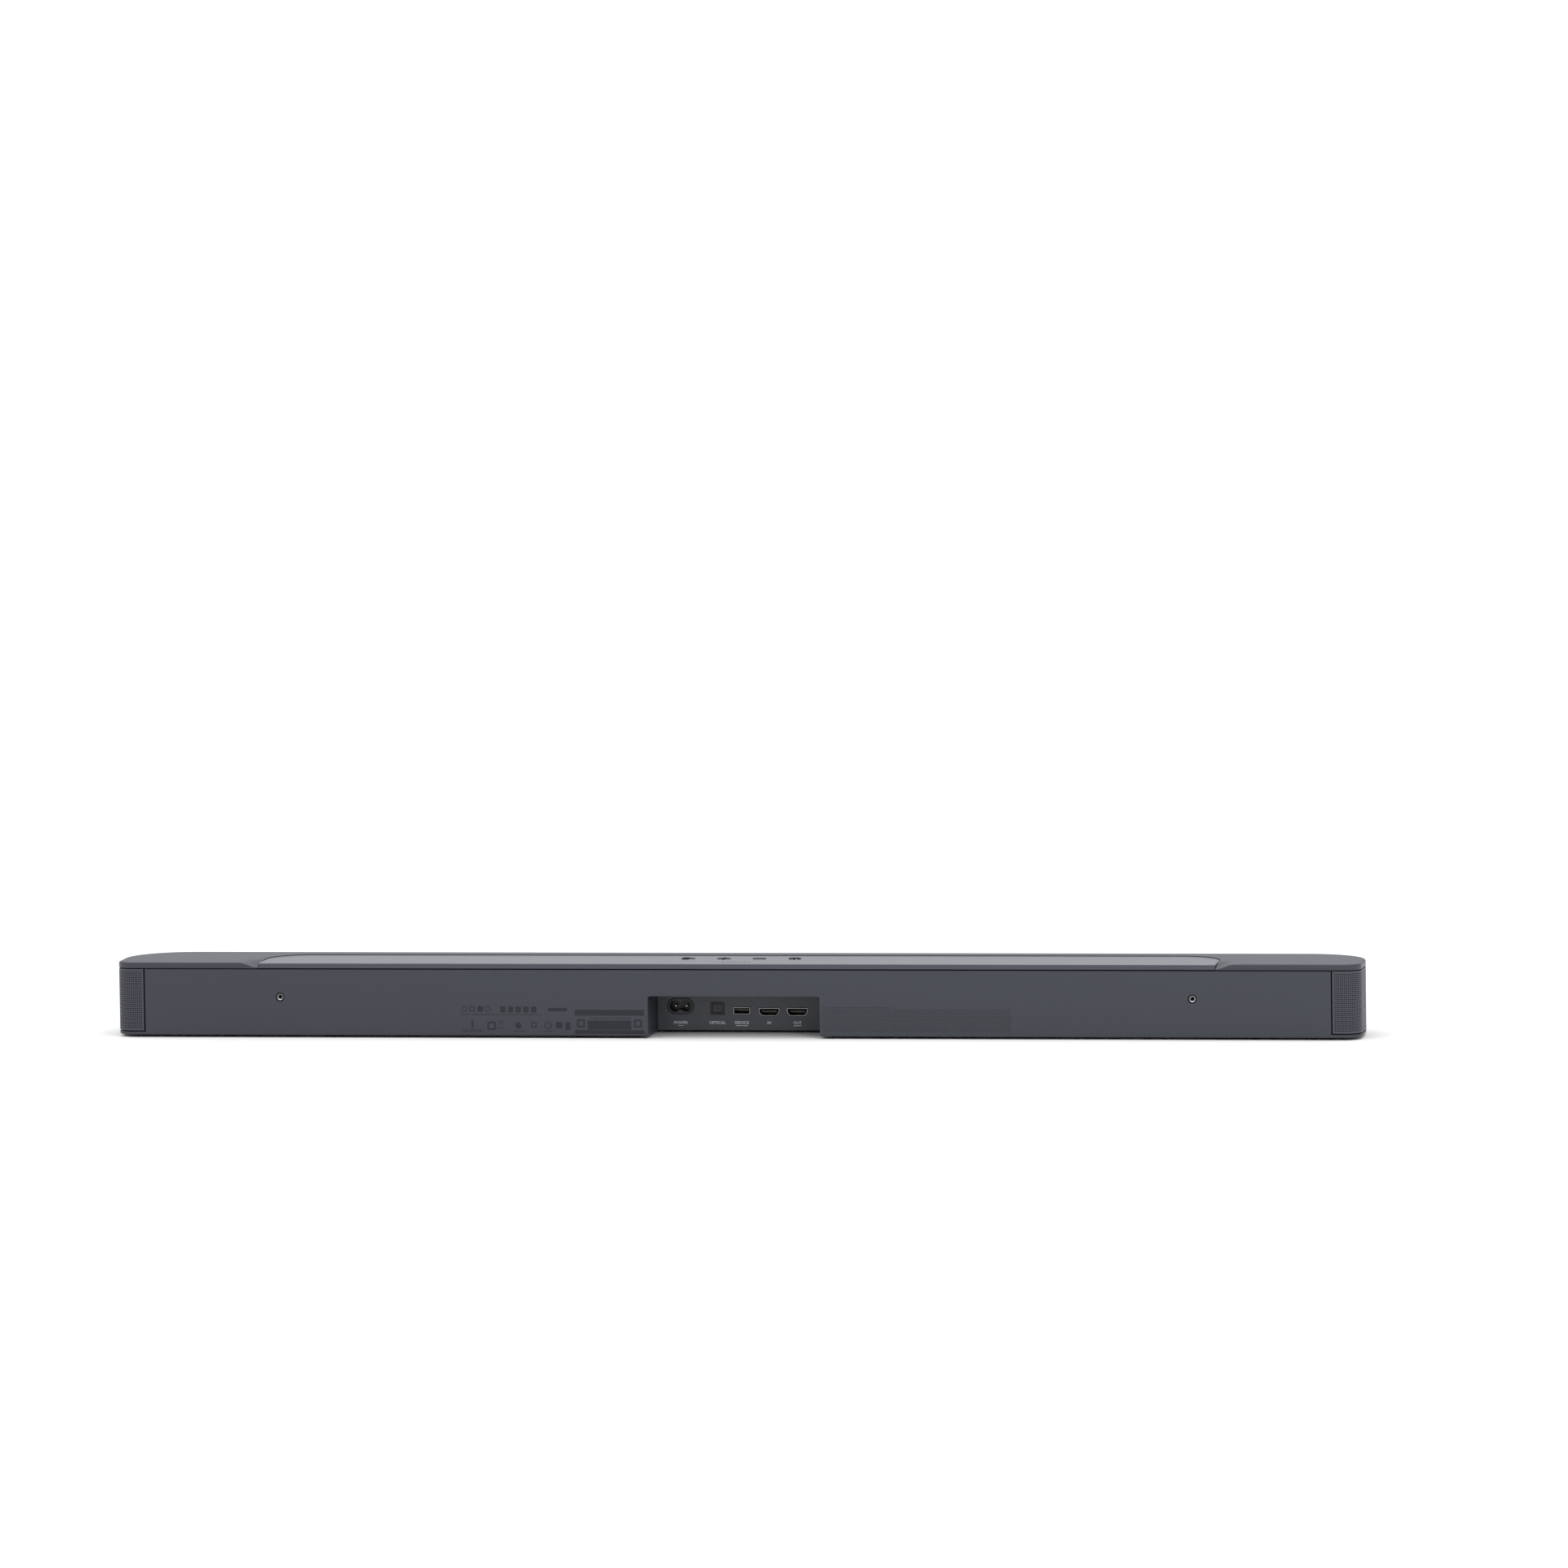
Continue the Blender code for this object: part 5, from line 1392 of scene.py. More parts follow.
# ---------------------------------------------------------------- the connector bay
@dataclass
class ConnectorBay:
    """The port panel with its mains, optical, service and video sockets."""

    half: float = 0.0667
    top: float = 0.0327
    corner: float = 0.0020
    low: float = 0.0021
    panel_edge: float = 0.00012
    barrel: float = 0.0042
    waist: float = 0.0052
    pin_spacing: float = 0.0086
    pin_radius: float = 0.0012
    pin_nose: float = 0.0010
    inlet_floor: float = 0.0040
    optical_wall: float = 0.0010
    shell_wall: float = 0.0005
    lining: float = 0.00030
    rim_depth: float = 0.0010
    fine_contact: float = 0.0002
    broad_contact: float = 0.0006
    few_contacts: int = 5

    def _outline(self) -> Array:
        """The panel: the bay's mouth less a gap, with rounded upper corners."""
        half, top, corner = self.half - GAP, self.top - GAP, self.corner - GAP
        return np.concatenate([[(-half, self.low), (half, self.low)],
                               arc((half - corner, top - corner), corner, 0, 90, 8),
                               arc((corner - half, top - corner), corner, 90, 180, 8)])

    @staticmethod
    def _video(node: str, inset: float = 0.0) -> Array:
        """A video socket's mouth, a slot with its two lower corners cut away, in its place.

        Args:
            node: The socket's CAD node.
            inset: How far inside the node's own outline.

        Returns:
            The outline's points.
        """
        x, z, width, height = front_view(node)
        w, h = width / 2, height / 2
        cut = 0.8 * h
        shape = np.array([(-w + cut, -h), (w - cut, -h), (w, -h + cut), (w, h), (-w, h),
                          (-w, -h + cut)])
        return offset(shape, -inset) + (x, z)

    @staticmethod
    def _boxed(node: str, inset: float, radius: float) -> Array:
        """A rectangular socket's outline, inset and with small corners, in its place."""
        x, z, width, height = front_view(node)
        return rounded_box(width - 2 * inset, height - 2 * inset, radius, (x, z), 4)

    def _inlet_outline(self, extra: float = 0.0) -> Array:
        """The mains inlet's racetrack, grown by extra."""
        x, z, width, height = front_view("mains_inlet")
        return racetrack(width + 2 * extra, height + 2 * extra, 20) + (x, z)

    def _panel(self) -> None:
        """The panel, pierced for every socket."""
        low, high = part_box("port_panel")
        holes = [self._inlet_outline(GAP), self._boxed("optical_socket", -GAP, 0.0005),
                 self._boxed("service_socket", -GAP, 0.0006),
                 self._video("video_in_socket", -GAP), self._video("video_out_socket", -GAP)]
        skin = Skin().plate(self._outline(), low.y, high.y, Plane.UPRIGHT, holes,
                            edge=FINE_EDGE, hole_edge=self.panel_edge)
        fit(skin.piece("socket_panel"), BAY, stands_for=["port_panel"])

    def _inlet(self) -> None:
        """The inlet: an oval block, two round wells joined by a waist, and its two pins."""
        low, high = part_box("mains_inlet")
        x, _, z = middle("mains_inlet")
        half = self.pin_spacing / 2
        swing = math.degrees(math.asin(self.waist / 2 / self.barrel))
        wells = np.concatenate([arc((half, 0), self.barrel, swing - 180, 180 - swing, 40),
                                arc((-half, 0), self.barrel, swing, 360 - swing, 40)]) + (x, z)
        floor = low.y + self.inlet_floor
        skin = Skin().plate(self._inlet_outline(), floor, high.y, Plane.UPRIGHT, [wells],
                            edge=0.0003, hole_edge=0.00035, steps=4)
        skin.plate(self._inlet_outline(), low.y, floor, Plane.UPRIGHT, edge=FINE_EDGE)
        fit(skin.piece("inlet_block"), SOCKET, stands_for=["mains_inlet"])
        for label, side in SIDES:
            node = f"inlet_pin_{label}"
            back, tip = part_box(node)[0].y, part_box(node)[1].y
            turn = np.linspace(0, math.pi / 2, 9)
            nose = np.stack([self.pin_radius * np.cos(turn),
                             tip - self.pin_nose + self.pin_nose * np.sin(turn)], axis=-1)
            profile = np.concatenate([[(0.0, back), (self.pin_radius, back)], nose])
            skin = Skin().turned(profile, (x + side * half, z), Plane.UPRIGHT, 32)
            fit(skin.piece(f"inlet_post_{label}"), PIN, stands_for=[node])

    def _optical(self) -> None:
        """The optical socket, and its shutter with a raised square and a small central nub."""
        low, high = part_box("optical_socket")
        x, _, z = middle("optical_socket")
        floor = low.y + 2 * self.optical_wall
        outer = self._boxed("optical_socket", 0.0, 0.0004)
        skin = Skin().plate(outer, floor, high.y, Plane.UPRIGHT,
                            [self._boxed("optical_socket", self.optical_wall, 0.0003)],
                            edge=0.0002, hole_edge=0.0002)
        skin.plate(outer, low.y, floor, Plane.UPRIGHT, edge=FINE_EDGE)
        skin.turned([(0.0, floor + 0.0035), (0.0007, floor + 0.0033), (0.0008, floor + 0.003),
                     (0.0008, floor - 0.0002), (0.0, floor - 0.0002)], (x, z), Plane.UPRIGHT, 24)
        fit(skin.piece("optical_block"), SOCKET, stands_for=["optical_socket"])
        gate = soften_cad("optical_shutter", "optical_gate", 0.00008, 2)
        fit(gate, SOCKET, "shutter", ["optical_shutter"])
        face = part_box("optical_shutter")[1].y
        z = middle("optical_shutter")[2] - 0.0002
        outer = rounded_box(0.0052, 0.0050, 0.0003, (x, z))
        inner = rounded_box(0.0040, 0.0038, 0.0002, (x, z))
        skin = Skin().plate(outer, face - 0.0001, face + 0.00016, Plane.UPRIGHT, [inner],
                            edge=0.00006)
        skin.turned([(0.0, face + 0.00025), (0.00032, face + 0.00022), (0.00046, face + 0.0001),
                     (0.00050, face - 0.0001), (0.0, face - 0.0001)], (x, z), Plane.UPRIGHT, 20)
        fit(skin.piece("optical_gate_mark"), SOCKET, "shutter")

    def _shell(self, name: str, outer: Array, inner: Array) -> None:
        """A plated shell, open at the front and closed at the back, and its dark lining.

        Args:
            name: The socket's name.
            outer: Outline of the shell.
            inner: Outline of its mouth.
        """
        node = f"{name}_socket"
        low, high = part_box(node)
        back = low.y + 2 * self.shell_wall
        skin = Skin().plate(outer, back, high.y, Plane.UPRIGHT, [inner], edge=0.00015,
                            hole_edge=0.00012)
        skin.plate(outer, low.y, back, Plane.UPRIGHT, edge=FINE_EDGE)
        fit(skin.piece(f"{name}_shell"), PLATED, stands_for=[node])
        sheet, slack = 0.0001, 0.00002
        lining = offset(inner, -slack)
        skin = Skin().plate(lining, back + sheet, high.y - self.rim_depth, Plane.UPRIGHT,
                            [offset(inner, -self.lining)], edge=0.00008)
        skin.plate(lining, back + slack, back + sheet, Plane.UPRIGHT, edge=0.0)
        fit(skin.piece(f"{name}_lining"), SOCKET)

    def _tongue(self, name: str, upper: int, lower: int) -> None:
        """A contact tongue with thin gilt contacts above and below it.

        Args:
            name: The socket's name.
            upper: Contacts above the tongue.
            lower: Contacts below it.
        """
        node = f"{name}_tongue"
        low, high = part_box(node)
        bar = rounded_box(high.x - low.x, high.z - low.z, 0.0002,
                          ((low.x + high.x) / 2, (low.z + high.z) / 2), 3)
        skin = Skin().plate(bar, low.y, high.y, Plane.UPRIGHT, edge=FINE_EDGE)
        fit(skin.piece(f"{name}_contact_bar"), SOCKET, stands_for=[node])
        skin = Skin()
        for count, z in ((upper, high.z), (lower, low.z)):
            if not count:
                continue
            margin = (high.x - low.x) / (2 * count + 2)
            x = np.linspace(low.x + margin, high.x - margin, count)
            sides = np.stack([x, np.full(count, (low.y + high.y) / 2), np.full(count, z)], -1)
            half = self.fine_contact if count > self.few_contacts else self.broad_contact
            reach = np.array([half, (high.y - low.y) / 2 - 0.0003, 0.00006])
            skin.boxes(sides - reach, sides + reach)
        fit(skin.piece(f"{name}_contacts"), CONTACT)

    def build(self) -> None:
        """Make the panel and everything in it."""
        self._panel()
        self._inlet()
        self._optical()
        wall = self.shell_wall
        self._shell("service", self._boxed("service_socket", 0.0, 0.0006),
                    self._boxed("service_socket", wall, 0.0004))
        self._tongue("service", 0, 4)
        for name in ("video_in", "video_out"):
            node = f"{name}_socket"
            self._shell(name, self._video(node), self._video(node, wall))
            self._tongue(name, 10, 9)


# ---------------------------------------------------------------- drive units
@dataclass
class WideDriver:
    """One wide driver: basket with its screws, ribbed cone with dust cap, rolled surround."""

    number: int
    flange: float = 0.0035
    wall: float = 0.0020
    back_width: float = 0.0420
    taper: float = 0.0020
    coil: float = 0.0077
    coil_bore: float = 0.0073
    skin: float = 0.0006
    cone_depth: float = 0.0095
    coil_length: float = 0.0160
    margin: float = 0.0020
    roll: float = 0.0026
    head_radius: float = 0.0017
    head_rise: float = 0.0005
    screw_u: float = 0.022
    screw_v: float = 0.0197

    def __post_init__(self) -> None:
        """Read the driver's place and size from its CAD basket."""
        low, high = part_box(f"driver_{self.number}_basket")
        self.width, self.height = high.x - low.x, high.z - low.z
        self.face, self.back = low.y, high.y
        self.centre = ((low.x + high.x) / 2, (low.z + high.z) / 2)
        mouth = 2 * (self.flange + self.wall)
        self.rim_w = self.width - mouth - 2 * self.margin
        self.rim_h = self.height - mouth - 2 * self.margin
        self.rim_y = self.face - GAP

    def _basket(self) -> None:
        """Flange, tapering wall and four pan-head screws."""
        w, h, face, mount = self.width, self.height, self.face, self.face + 0.0020
        neck, mouth = 2 * self.flange, 2 * (self.flange + self.wall)
        back_h = h - neck - 2 * self.taper
        profile = [(w - 0.0006, h - 0.0006, face), (w, h, face + 0.0003), (w, h, mount),
                   (w - neck, h - neck, mount), (self.back_width, back_h, self.back),
                   (self.back_width - 2 * self.wall, back_h - 2 * self.wall, self.back),
                   (w - mouth, h - mouth, mount), (w - mouth, h - mouth, face + 0.0004),
                   (w - mouth + 0.0008, h - mouth + 0.0008, face)]
        skin = Skin().tracks(profile, self.centre, ring=True)
        turn = np.linspace(0, math.pi / 2, 6)
        head = self.head_radius
        dome = np.stack([head * np.cos(turn), face - self.head_rise * np.sin(turn)], axis=-1)
        sunk = face + 0.0002
        profile = np.concatenate([[(0.0, sunk), (head, sunk)], dome])
        for u in (-self.screw_u, self.screw_u):
            for v in (-self.screw_v, self.screw_v):
                skin.turned(profile, (self.centre[0] + u, self.centre[1] + v), Plane.UPRIGHT, 20)
        node = f"driver_{self.number}_basket"
        fit(skin.piece(f"driver_{self.number}_frame"), INNER, stands_for=[node])

    def _cone(self) -> None:
        """Cone and dust cap in one skin.

        The paper runs from throat to rim as width(t), height(t) linear in t, and depth
        rim + deep * (1 - t^1.4) with ribs of 0.12 mm * sin(12 pi t) that die out at both ends.
        """
        t = np.linspace(0, 1, 41)
        rib = 0.00012 * np.sin(12 * math.pi * t) * np.sin(math.pi * t)
        coil = 2 * self.coil
        width, height = coil + (self.rim_w - coil) * t, coil + (self.rim_h - coil) * t
        depth = self.rim_y + self.cone_depth * (1 - t**1.4) + rib
        front = np.stack([width, height, depth], axis=-1)
        behind = front[::-1] + (0, 0, self.skin)
        throat = self.rim_y + self.cone_depth
        turn = np.linspace(0, 1, 12)[:-1]
        cap = np.stack([coil * 0.98 * turn, coil * 0.98 * turn,
                        throat - 0.0032 * (1 - turn**2) - 0.0002], axis=-1)
        bore = 2 * self.coil_bore
        tube = [(coil, coil, throat + self.coil_length), (bore, bore, throat + self.coil_length),
                (bore, bore, throat + 0.0003)]
        inside = cap[::-1] * (0.94, 0.94, 1.0) + (0, 0, 0.0005)
        profile = np.concatenate([cap, front, behind, tube, inside])
        skin = Skin().tracks(profile, self.centre)
        node = f"driver_{self.number}_cone"
        fit(skin.piece(f"driver_{self.number}_diaphragm", smooth=60), PAPER,
            f"cone_{self.number}", [node])

    def _surround(self) -> None:
        """Half a tube, of radius roll and wall skin, carried round the rim."""
        base = self.rim_y - GAP
        angles = np.radians(np.linspace(0, 180, 17))
        parts = []
        for radius, order in ((self.roll, 1), (self.roll - self.skin, -1)):
            turn = angles[::order]
            spread = 2 * (GAP + self.roll - radius * np.cos(turn))
            parts.append(np.stack([self.rim_w + spread, self.rim_h + spread,
                                   base - radius * np.sin(turn)], axis=-1))
        skin = Skin().tracks(np.concatenate(parts), self.centre, ring=True)
        node = f"driver_{self.number}_surround"
        fit(skin.piece(f"driver_{self.number}_roll", smooth=60), RUBBER, stands_for=[node])

    def build(self) -> None:
        """Make the driver's pieces and dress its motor."""
        self._basket()
        self._cone()
        self._surround()
        dress(FERRITE, f"driver_{self.number}_motor")


@dataclass
class Tweeter:
    """A dome tweeter: face plate with a flared mouth, and its silk dome."""

    label: str
    radius: float = 0.0190
    dome: float = 0.0129
    dome_height: float = 0.0036
    can_radius: float = 0.0150
    flare_width: float = 0.0016
    flare_depth: float = 0.0012
    skin: float = 0.0005

    def build(self) -> None:
        """Spin the body and the dome; the dome's height is h (1 - (r / R)^2)."""
        node = f"{self.label}_tweeter_body"
        low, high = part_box(node)
        x, _, z = middle(node)
        face, mount, back = low.y, low.y + 0.0020, high.y
        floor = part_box(f"{self.label}_tweeter_dome")[1].y + 0.0010
        well = self.dome + 0.0006
        turn = np.linspace(0, math.pi / 2, 8)
        flare = np.stack([well + self.flare_width * (1 - np.cos(turn)),
                          face + self.flare_depth * (1 - np.sin(turn))], axis=-1)
        profile = np.concatenate([[(0.0, floor), (well, floor)], flare,
                                  [(self.radius - 0.0004, face), (self.radius, face + 0.0004),
                                   (self.radius, mount), (self.can_radius, mount),
                                   (self.can_radius, back), (0.0, back)]])
        skin = Skin().turned(profile, (x, z), Plane.UPRIGHT, 64)
        fit(skin.piece(f"{self.label}_tweeter_plate"), INNER, stands_for=[node])
        node = f"{self.label}_tweeter_dome"
        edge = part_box(node)[1].y
        share = np.linspace(0, 1, 16)
        outer = np.stack([self.dome * share,
                          edge - self.skin - self.dome_height * (1 - share**2)], -1)
        inner = (outer + (0.0, self.skin))[::-1]
        skin = Skin().turned(np.concatenate([outer, inner]), (x, z), Plane.UPRIGHT, 64)
        fit(skin.piece(f"{self.label}_silk_dome", smooth=60), SILK, f"{self.label}_dome", [node])


# ---------------------------------------------------------------- printed marks
@dataclass
class Marks:
    """Plain printed signs: port words, blank information panels and deck ticks."""

    wall_y: float = 0.0425
    panel_y: float = -0.0010
    deck_z: float = 0.0575
    film: float = 0.00003
    seed: int = 11
    ring_signs: Table = ((0.2095, 0.0226, 0.0048), (0.1915, 0.0226, 0.0048),
                         (0.1445, 0.0100, 0.0058))
    square_signs: Table = ((0.2035, 0.0226, 0.0042), (0.1885, 0.0096, 0.0066),
                           (0.1555, 0.0104, 0.0044))
    bar_signs: Table = ((0.1972, 0.0226, 0.0040, 0.0044),
                        *((x, 0.0222, 0.0042, 0.0048)
                          for x in (0.1795, 0.1735, 0.1675, 0.1615, 0.1555)),
                        (0.1370, 0.0222, 0.0150, 0.0026), (0.2035, 0.0108, 0.0014, 0.0066),
                        (0.1358, 0.0102, 0.0052, 0.0050), (0.1290, 0.0094, 0.0040, 0.0060))
    sign_rows: Table = ((0.1860, 0.2140, (0.0182,)), (0.1500, 0.1850, (0.0182,)),
                        (0.1960, 0.2120, (0.0064, 0.0052)),
                        (0.1790, 0.1840, (0.0130, 0.0114, 0.0082)),
                        (0.1620, 0.1740, (0.0056,)), (0.1400, 0.1480, (0.0056,)))
    notice_x: float = 0.0966
    words: Table = (("POWER", "mains_inlet"), ("OPTICAL", "optical_socket"),
                    ("SERVICE", "service_socket"), ("IN", "video_in_socket"),
                    ("OUT", "video_out_socket"))
    word_z: float = 0.0069
    letter: float = 0.0031
    letter_swell: float = 0.00006

    def _rows(self, rng: np.random.Generator, span: tuple[float, float], heights: Array,
              thick: float, dash: tuple[float, float], space: float) -> tuple[Array, Array]:
        """Rows of dashes of random length between two X limits.

        Args:
            rng: The seeded source of lengths.
            span: Lowest and highest X.
            heights: Z of every row.
            thick: Height of a dash.
            dash: Shortest and longest dash.
            space: Gap between dashes.

        Returns:
            Lowest and highest corners of the dashes.
        """
        low, high = [], []
        most = int((span[1] - span[0]) / (dash[0] + space)) + 1
        for z in heights:
            length = rng.uniform(*dash, most)
            start = span[0] + np.concatenate([[0.0], np.cumsum(length + space)[:-1]])
            keep = start + length <= span[1]
            start, end = start[keep], (start + length)[keep]
            for corners, edge, sign in ((low, start, -1), (high, end, 1)):
                corners.append(Plane.UPRIGHT.place(edge, z + sign * (thick / 2),
                                                   self.wall_y + sign * self.film))
        return np.concatenate(low), np.concatenate(high)

    def _film(self, skin: Skin, outline: Array, holes: Sequence[Array] = ()) -> None:
        """A printed shape on the rear wall."""
        skin.plate(outline, self.wall_y - self.film, self.wall_y + self.film, Plane.UPRIGHT,
                   holes, edge=0.0)

    def _signs(self) -> None:
        """The left panel: plain rings, squares, bars and a disc over dashes, nothing to read."""
        rng = np.random.default_rng(self.seed)
        skin = Skin()
        for x, z, size in self.ring_signs:
            self._film(skin, circle(size / 2, (x, z), 24), [circle(size * 0.36, (x, z), 24)])
        for x, z, size in self.square_signs:
            self._film(skin, rounded_box(size, size, size / 6, (x, z)),
                       [rounded_box(size * 0.6, size * 0.6, size / 9, (x, z))])
        for x, z, wide, high in self.bar_signs:
            self._film(skin, rounded_box(wide, high, min(wide, high) / 5, (x, z)))
        self._film(skin, circle(0.0025, (0.1676, 0.0098), 24))
        for low, high, heights in self.sign_rows:
            skin.boxes(*self._rows(rng, (low, high), np.array(heights), 0.0006,
                                   (0.0008, 0.0026), 0.0004))
        fit(skin.piece("rear_plain_signs"), INK_GREY)

    def _notice(self) -> None:
        """The panel beside the bay: three bars, two square rings and a row of dashes."""
        rng = np.random.default_rng(self.seed + 1)
        skin = Skin()
        middle_x = self.notice_x
        for z, wide, high in ((0.0199, 0.0540, 0.0046), (0.0050, 0.0540, 0.0030)):
            self._film(skin, rounded_box(wide, high, 0.0002, (middle_x, z), 2))
        for x in (0.1188, 0.0744):
            self._film(skin, rounded_box(0.0064, 0.0064, 0.0008, (x, 0.0116)),
                       [rounded_box(0.0034, 0.0034, 0.0004, (x, 0.0116))])
        self._film(skin, rounded_box(0.0340, 0.0070, 0.0002, (middle_x, 0.0104), 2))
        skin.boxes(*self._rows(rng, (0.0800, 0.1132), np.array([0.0156]), 0.0007,
                               (0.002, 0.006), 0.0006))
        fit(skin.piece("rear_plain_notice"), INK_GREY)

    def _small_rows(self) -> None:
        """The right panel: eleven faint rows of fine dashes and a shorter one above them."""
        rng = np.random.default_rng(self.seed + 2)
        skin = Skin().boxes(*self._rows(rng, (-0.2145, -0.0674), np.linspace(0.0060, 0.0226, 11),
                                        0.00075, (0.0008, 0.0032), 0.0005))
        skin.boxes(*self._rows(rng, (-0.1210, -0.0674), np.array([0.0242]), 0.00075,
                               (0.0008, 0.0032), 0.0005))
        fit(skin.piece("rear_faint_rows"), INK_FAINT)

    def _word(self, word: str, node: str) -> bpy.types.Mesh:
        """One plain word as a flat mesh, centred under a socket.

        Args:
            word: The word.
            node: The socket's CAD node.

        Returns:
            The mesh, in its place.
        """
        curve = bpy.data.curves.new(word.lower(), "FONT")
        curve.body = word
        curve.align_x = "CENTER"
        curve.size = self.letter
        curve.extrude = self.film
        curve.offset = self.letter_swell
        curve.resolution_u = 4
        text = put_in(word.lower(), curve)
        flat = bpy.data.meshes.new_from_object(
            text.evaluated_get(bpy.context.evaluated_depsgraph_get()))
        bpy.data.objects.remove(text)
        flat.transform(Matrix(((-1, 0, 0, middle(node)[0]), (0, 0, 1, self.panel_y),
                               (0, 1, 0, self.word_z), (0, 0, 0, 1))))
        return flat

    def _ports(self) -> None:
        """One plain word under each socket, and a finer row of dashes under some of them."""
        joined = bmesh.new()
        for word, node in self.words:
            flat = self._word(word, node)
            joined.from_mesh(flat)
            bpy.data.meshes.remove(flat)
        bmesh.ops.remove_doubles(joined, verts=joined.verts, dist=1e-7)
        data = bpy.data.meshes.new("port_words")
        joined.to_mesh(data)
        joined.free()
        fit(put_in("port_words", data), INK_WHITE)
        rng = np.random.default_rng(self.seed + 3)
        skin = Skin()
        for node, half in (("mains_inlet", 0.0020), ("service_socket", 0.0046),
                           ("video_out_socket", 0.0030)):
            x = middle(node)[0]
            low, high = self._rows(rng, (x - half, x + half), np.array([0.0057]), 0.0006,
                                   (0.0005, 0.0009), 0.0002)
            shift = np.array([0.0, self.panel_y - self.wall_y, 0.0])
            skin.boxes(low + shift, high + shift)
        fit(skin.piece("port_small_dashes"), INK_WHITE)

    def _ticks(self) -> None:
        """A short row of slanted ticks on the deck behind the keys."""
        x = np.linspace(0.0104, -0.0100, 7)
        y, half, lean = 0.0275, 0.0022, 0.0009
        corners = np.array([(-0.00055, -1), (0.00055, -1), (0.00055, 1), (-0.00055, 1)])
        skin = Skin()
        for place, size in zip(x, (0.6, 0.9, 1.0, 0.9, 0.8, 1.0, 0.8)):
            outline = np.stack([place + corners[:, 0] + lean * size * corners[:, 1],
                                y + half * size * corners[:, 1]], axis=-1)
            skin.plate(outline, self.deck_z - self.film, self.deck_z + self.film, Plane.LEVEL,
                       edge=0.0)
        fit(skin.piece("deck_ticks"), DECK_INK)

    def build(self) -> None:
        """Print every mark."""
        self._signs()
        self._notice()
        self._small_rows()
        self._ports()
        self._ticks()


# ---------------------------------------------------------------- display and electronics
@dataclass
class Electronics:
    """The read-out's lens, and the boards and parts inside the case."""

    lens_corner: float = 0.0015

    def build(self) -> None:
        """Make the lens and dress the CAD parts."""
        low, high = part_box("display_lens")
        x, z, width, height = front_view("display_lens")
        shape = rounded_box(width, height, self.lens_corner, (x, z), 8)
        skin = Skin().plate(shape, low.y, high.y, Plane.UPRIGHT, edge=0.0004, steps=4)
        fit(skin.piece("read_out_lens"), LENS, stands_for=["display_lens"])
        dress(BOARD, "main_board", "power_board", "amplifier_board", "button_board",
              "display_board")
        dress(FERRITE, "transformer")
        dress(ALUMINIUM, "heat_sink")
        dress(SLEEVE, "bulk_capacitor")


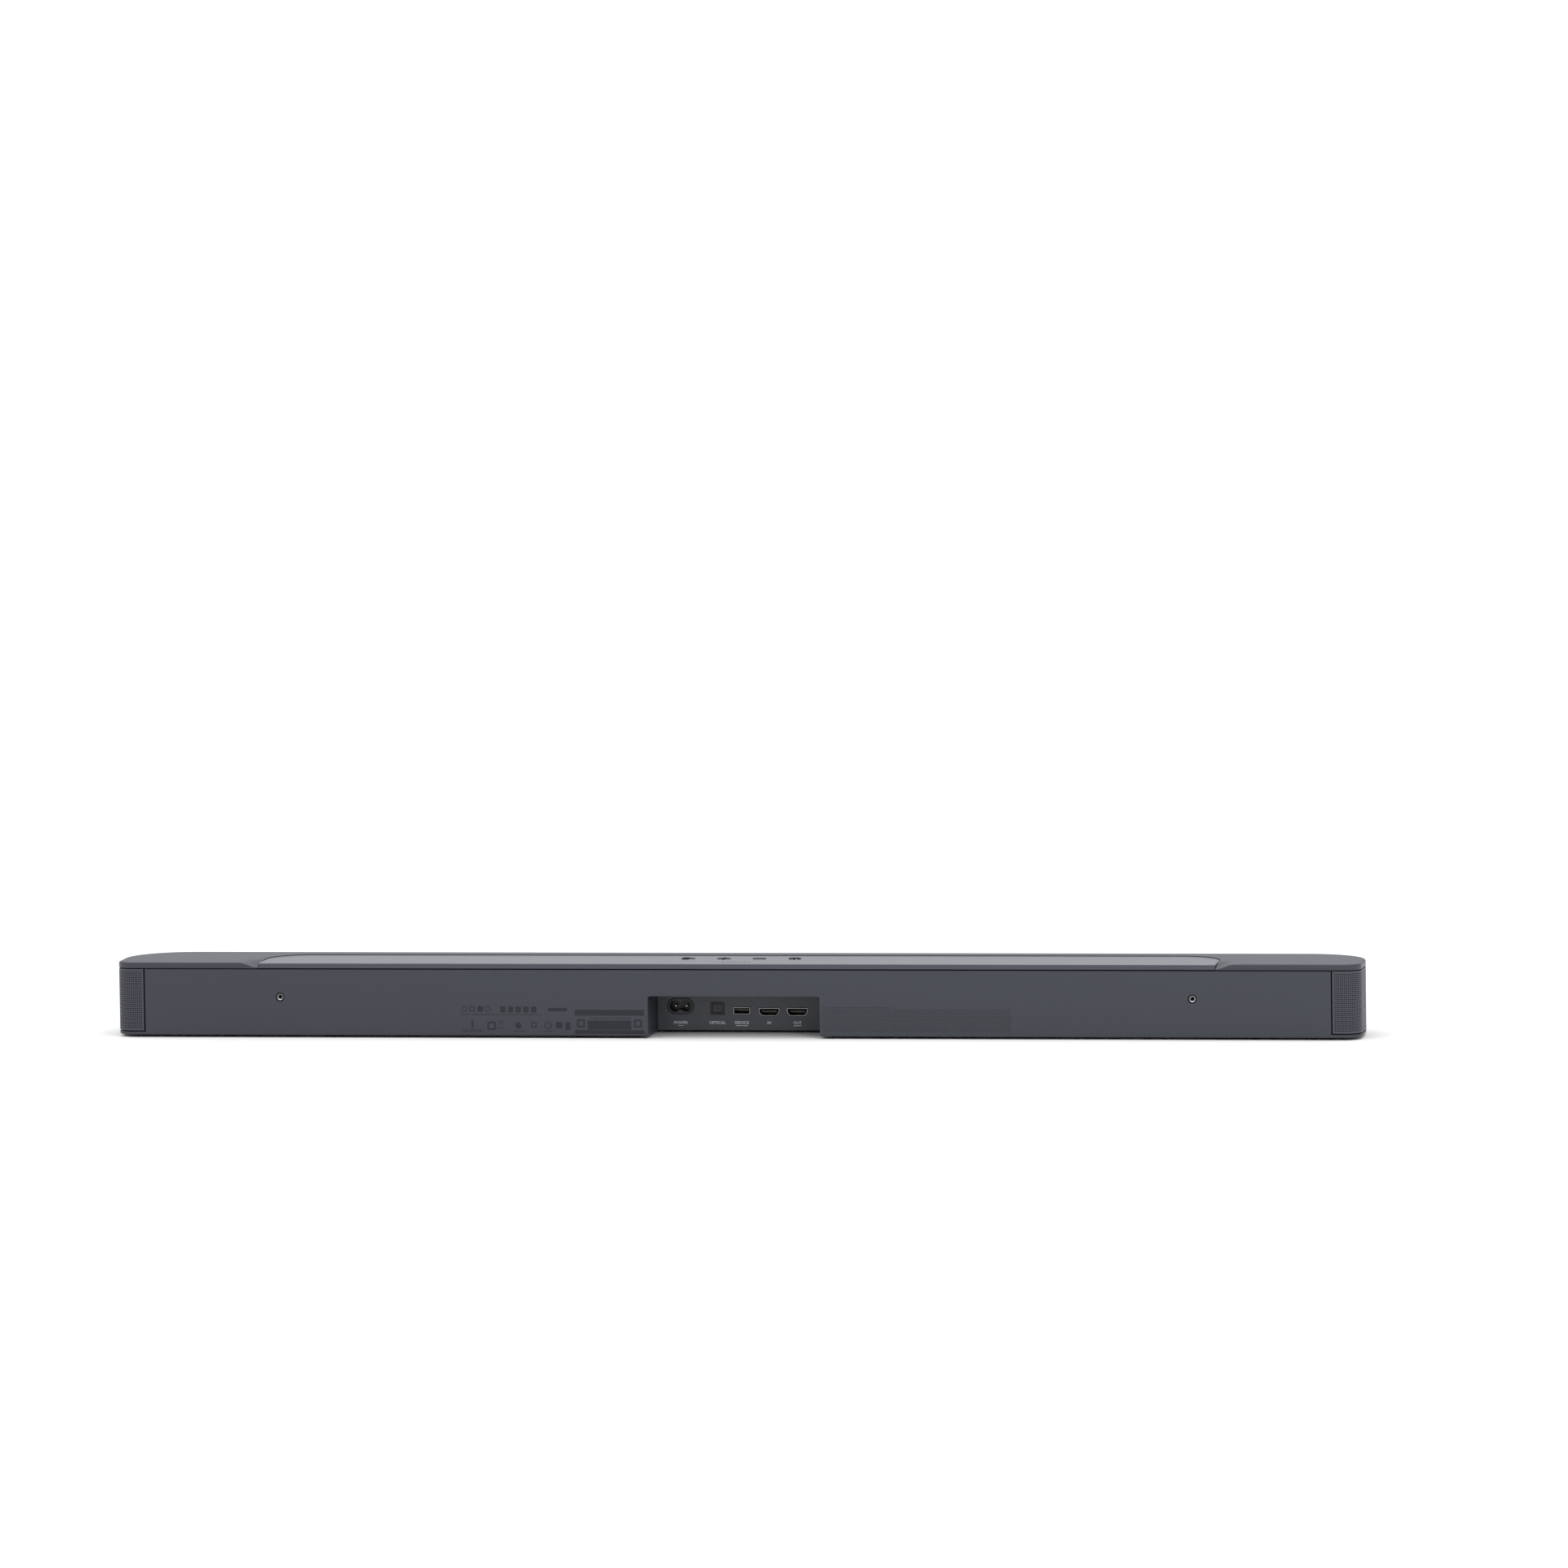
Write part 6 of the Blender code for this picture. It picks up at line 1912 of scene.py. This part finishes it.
# ---------------------------------------------------------------- studio
@dataclass
class Studio:
    """A plain pale floor, soft even light and the camera behind the bar, slightly above it."""

    place: tuple[float, float, float] = (-1.48929, 9.17721, 0.97010)
    yaw: float = 0.157186
    pitch: float = 0.083512
    roll: float = -0.013650
    lens: float = 278.87
    sky: float = 0.95
    sun: float = 1.1
    panel: float = 7.0
    panel_size: float = 1.2
    panel_place: tuple[float, float, float] = (-1.1, 1.5, 0.9)
    floor_reach: float = 150.0

    def _camera(self) -> None:
        """Aim along (sin yaw cos pitch, -cos yaw cos pitch, -sin pitch), rolled about it."""
        forward = Vector((math.sin(self.yaw) * math.cos(self.pitch),
                          -math.cos(self.yaw) * math.cos(self.pitch), -math.sin(self.pitch)))
        level = forward.cross(Vector((0, 0, 1))).normalized()
        upright = level.cross(forward)
        right = math.cos(self.roll) * level + math.sin(self.roll) * upright
        above = -math.sin(self.roll) * level + math.cos(self.roll) * upright
        data = bpy.data.cameras.new("camera")
        data.lens, data.sensor_width = self.lens, 36.0
        data.clip_start, data.clip_end = 0.1, 500.0
        camera = put_in("camera", data)
        turn = Matrix((right, above, -forward)).transposed().to_4x4()
        camera.matrix_world = Matrix.Translation(self.place) @ turn
        bpy.context.scene.camera = camera

    def _floor(self) -> None:
        """A wide pale floor that can't be seen from below."""
        reach = self.floor_reach
        side = np.linspace(-reach, reach, 3)
        x, y = np.meshgrid(side, side)
        floor = Skin().grid(Plane.LEVEL.place(x, y, 0.0)).piece("studio_floor", mend=False)
        made = bpy.data.materials.new("pale_floor")
        made.use_nodes = True
        w = Wiring(made.node_tree)
        patch = w.noise(w.object_place(), 3.0, 3.0)
        colour = w.mix(patch, (0.925, 0.910, 0.885, 1.0), (0.95, 0.935, 0.91, 1.0))
        matt = w.add("BsdfDiffuse", {"Color": colour}).outputs[0]
        clear = w.add("BsdfTransparent").outputs[0]
        beneath = w.add("NewGeometry").outputs["Backfacing"]
        mixed = w.add("MixShader", {0: beneath, 1: matt, 2: clear}).outputs[0]
        w.add("OutputMaterial", {"Surface": mixed})
        floor.data.materials.append(made)

    def _light(self) -> None:
        """Even sky light, a very soft overhead sun and a broad panel off the bar's rear corner."""
        world = bpy.data.worlds.new("studio")
        world.use_nodes = True
        w = Wiring(world.node_tree)
        sky = w.add("Background", {"Color": (0.945, 0.968, 1.0, 1.0), "Strength": self.sky})
        w.add("OutputWorld", {"Surface": sky.outputs[0]})
        scene = bpy.context.scene
        scene.world = world
        scene.view_settings.view_transform = "Standard"
        data = bpy.data.lights.new("overhead", "SUN")
        data.energy, data.angle = self.sun, math.radians(70)
        lamp = put_in("overhead", data)
        lamp.rotation_euler = (math.radians(-12), math.radians(6), 0)
        data = bpy.data.lights.new("side_panel", "AREA")
        data.shape, data.size, data.energy = "DISK", self.panel_size, self.panel
        lamp = put_in("side_panel", data)
        spot = Vector(self.panel_place)
        turn = spot.to_track_quat("Z", "Y").to_matrix().to_4x4()
        lamp.matrix_world = Matrix.Translation(spot) @ turn

    def build(self) -> None:
        """Set the camera, the floor and the light."""
        self._camera()
        self._floor()
        self._light()


def main() -> None:
    """Build the studio, then the bar from its case inwards."""
    logging.basicConfig(level=logging.INFO, format="%(name)s %(message)s")
    Studio().build()
    Case().build()
    DeckAndKeys().build()
    WrapGrille().build()
    Fasteners().build()
    ConnectorBay().build()
    for number in DRIVERS:
        WideDriver(number).build()
    for label, _ in SIDES:
        Tweeter(label).build()
    Electronics().build()
    Marks().build()


if __name__ == "__main__":
    main()
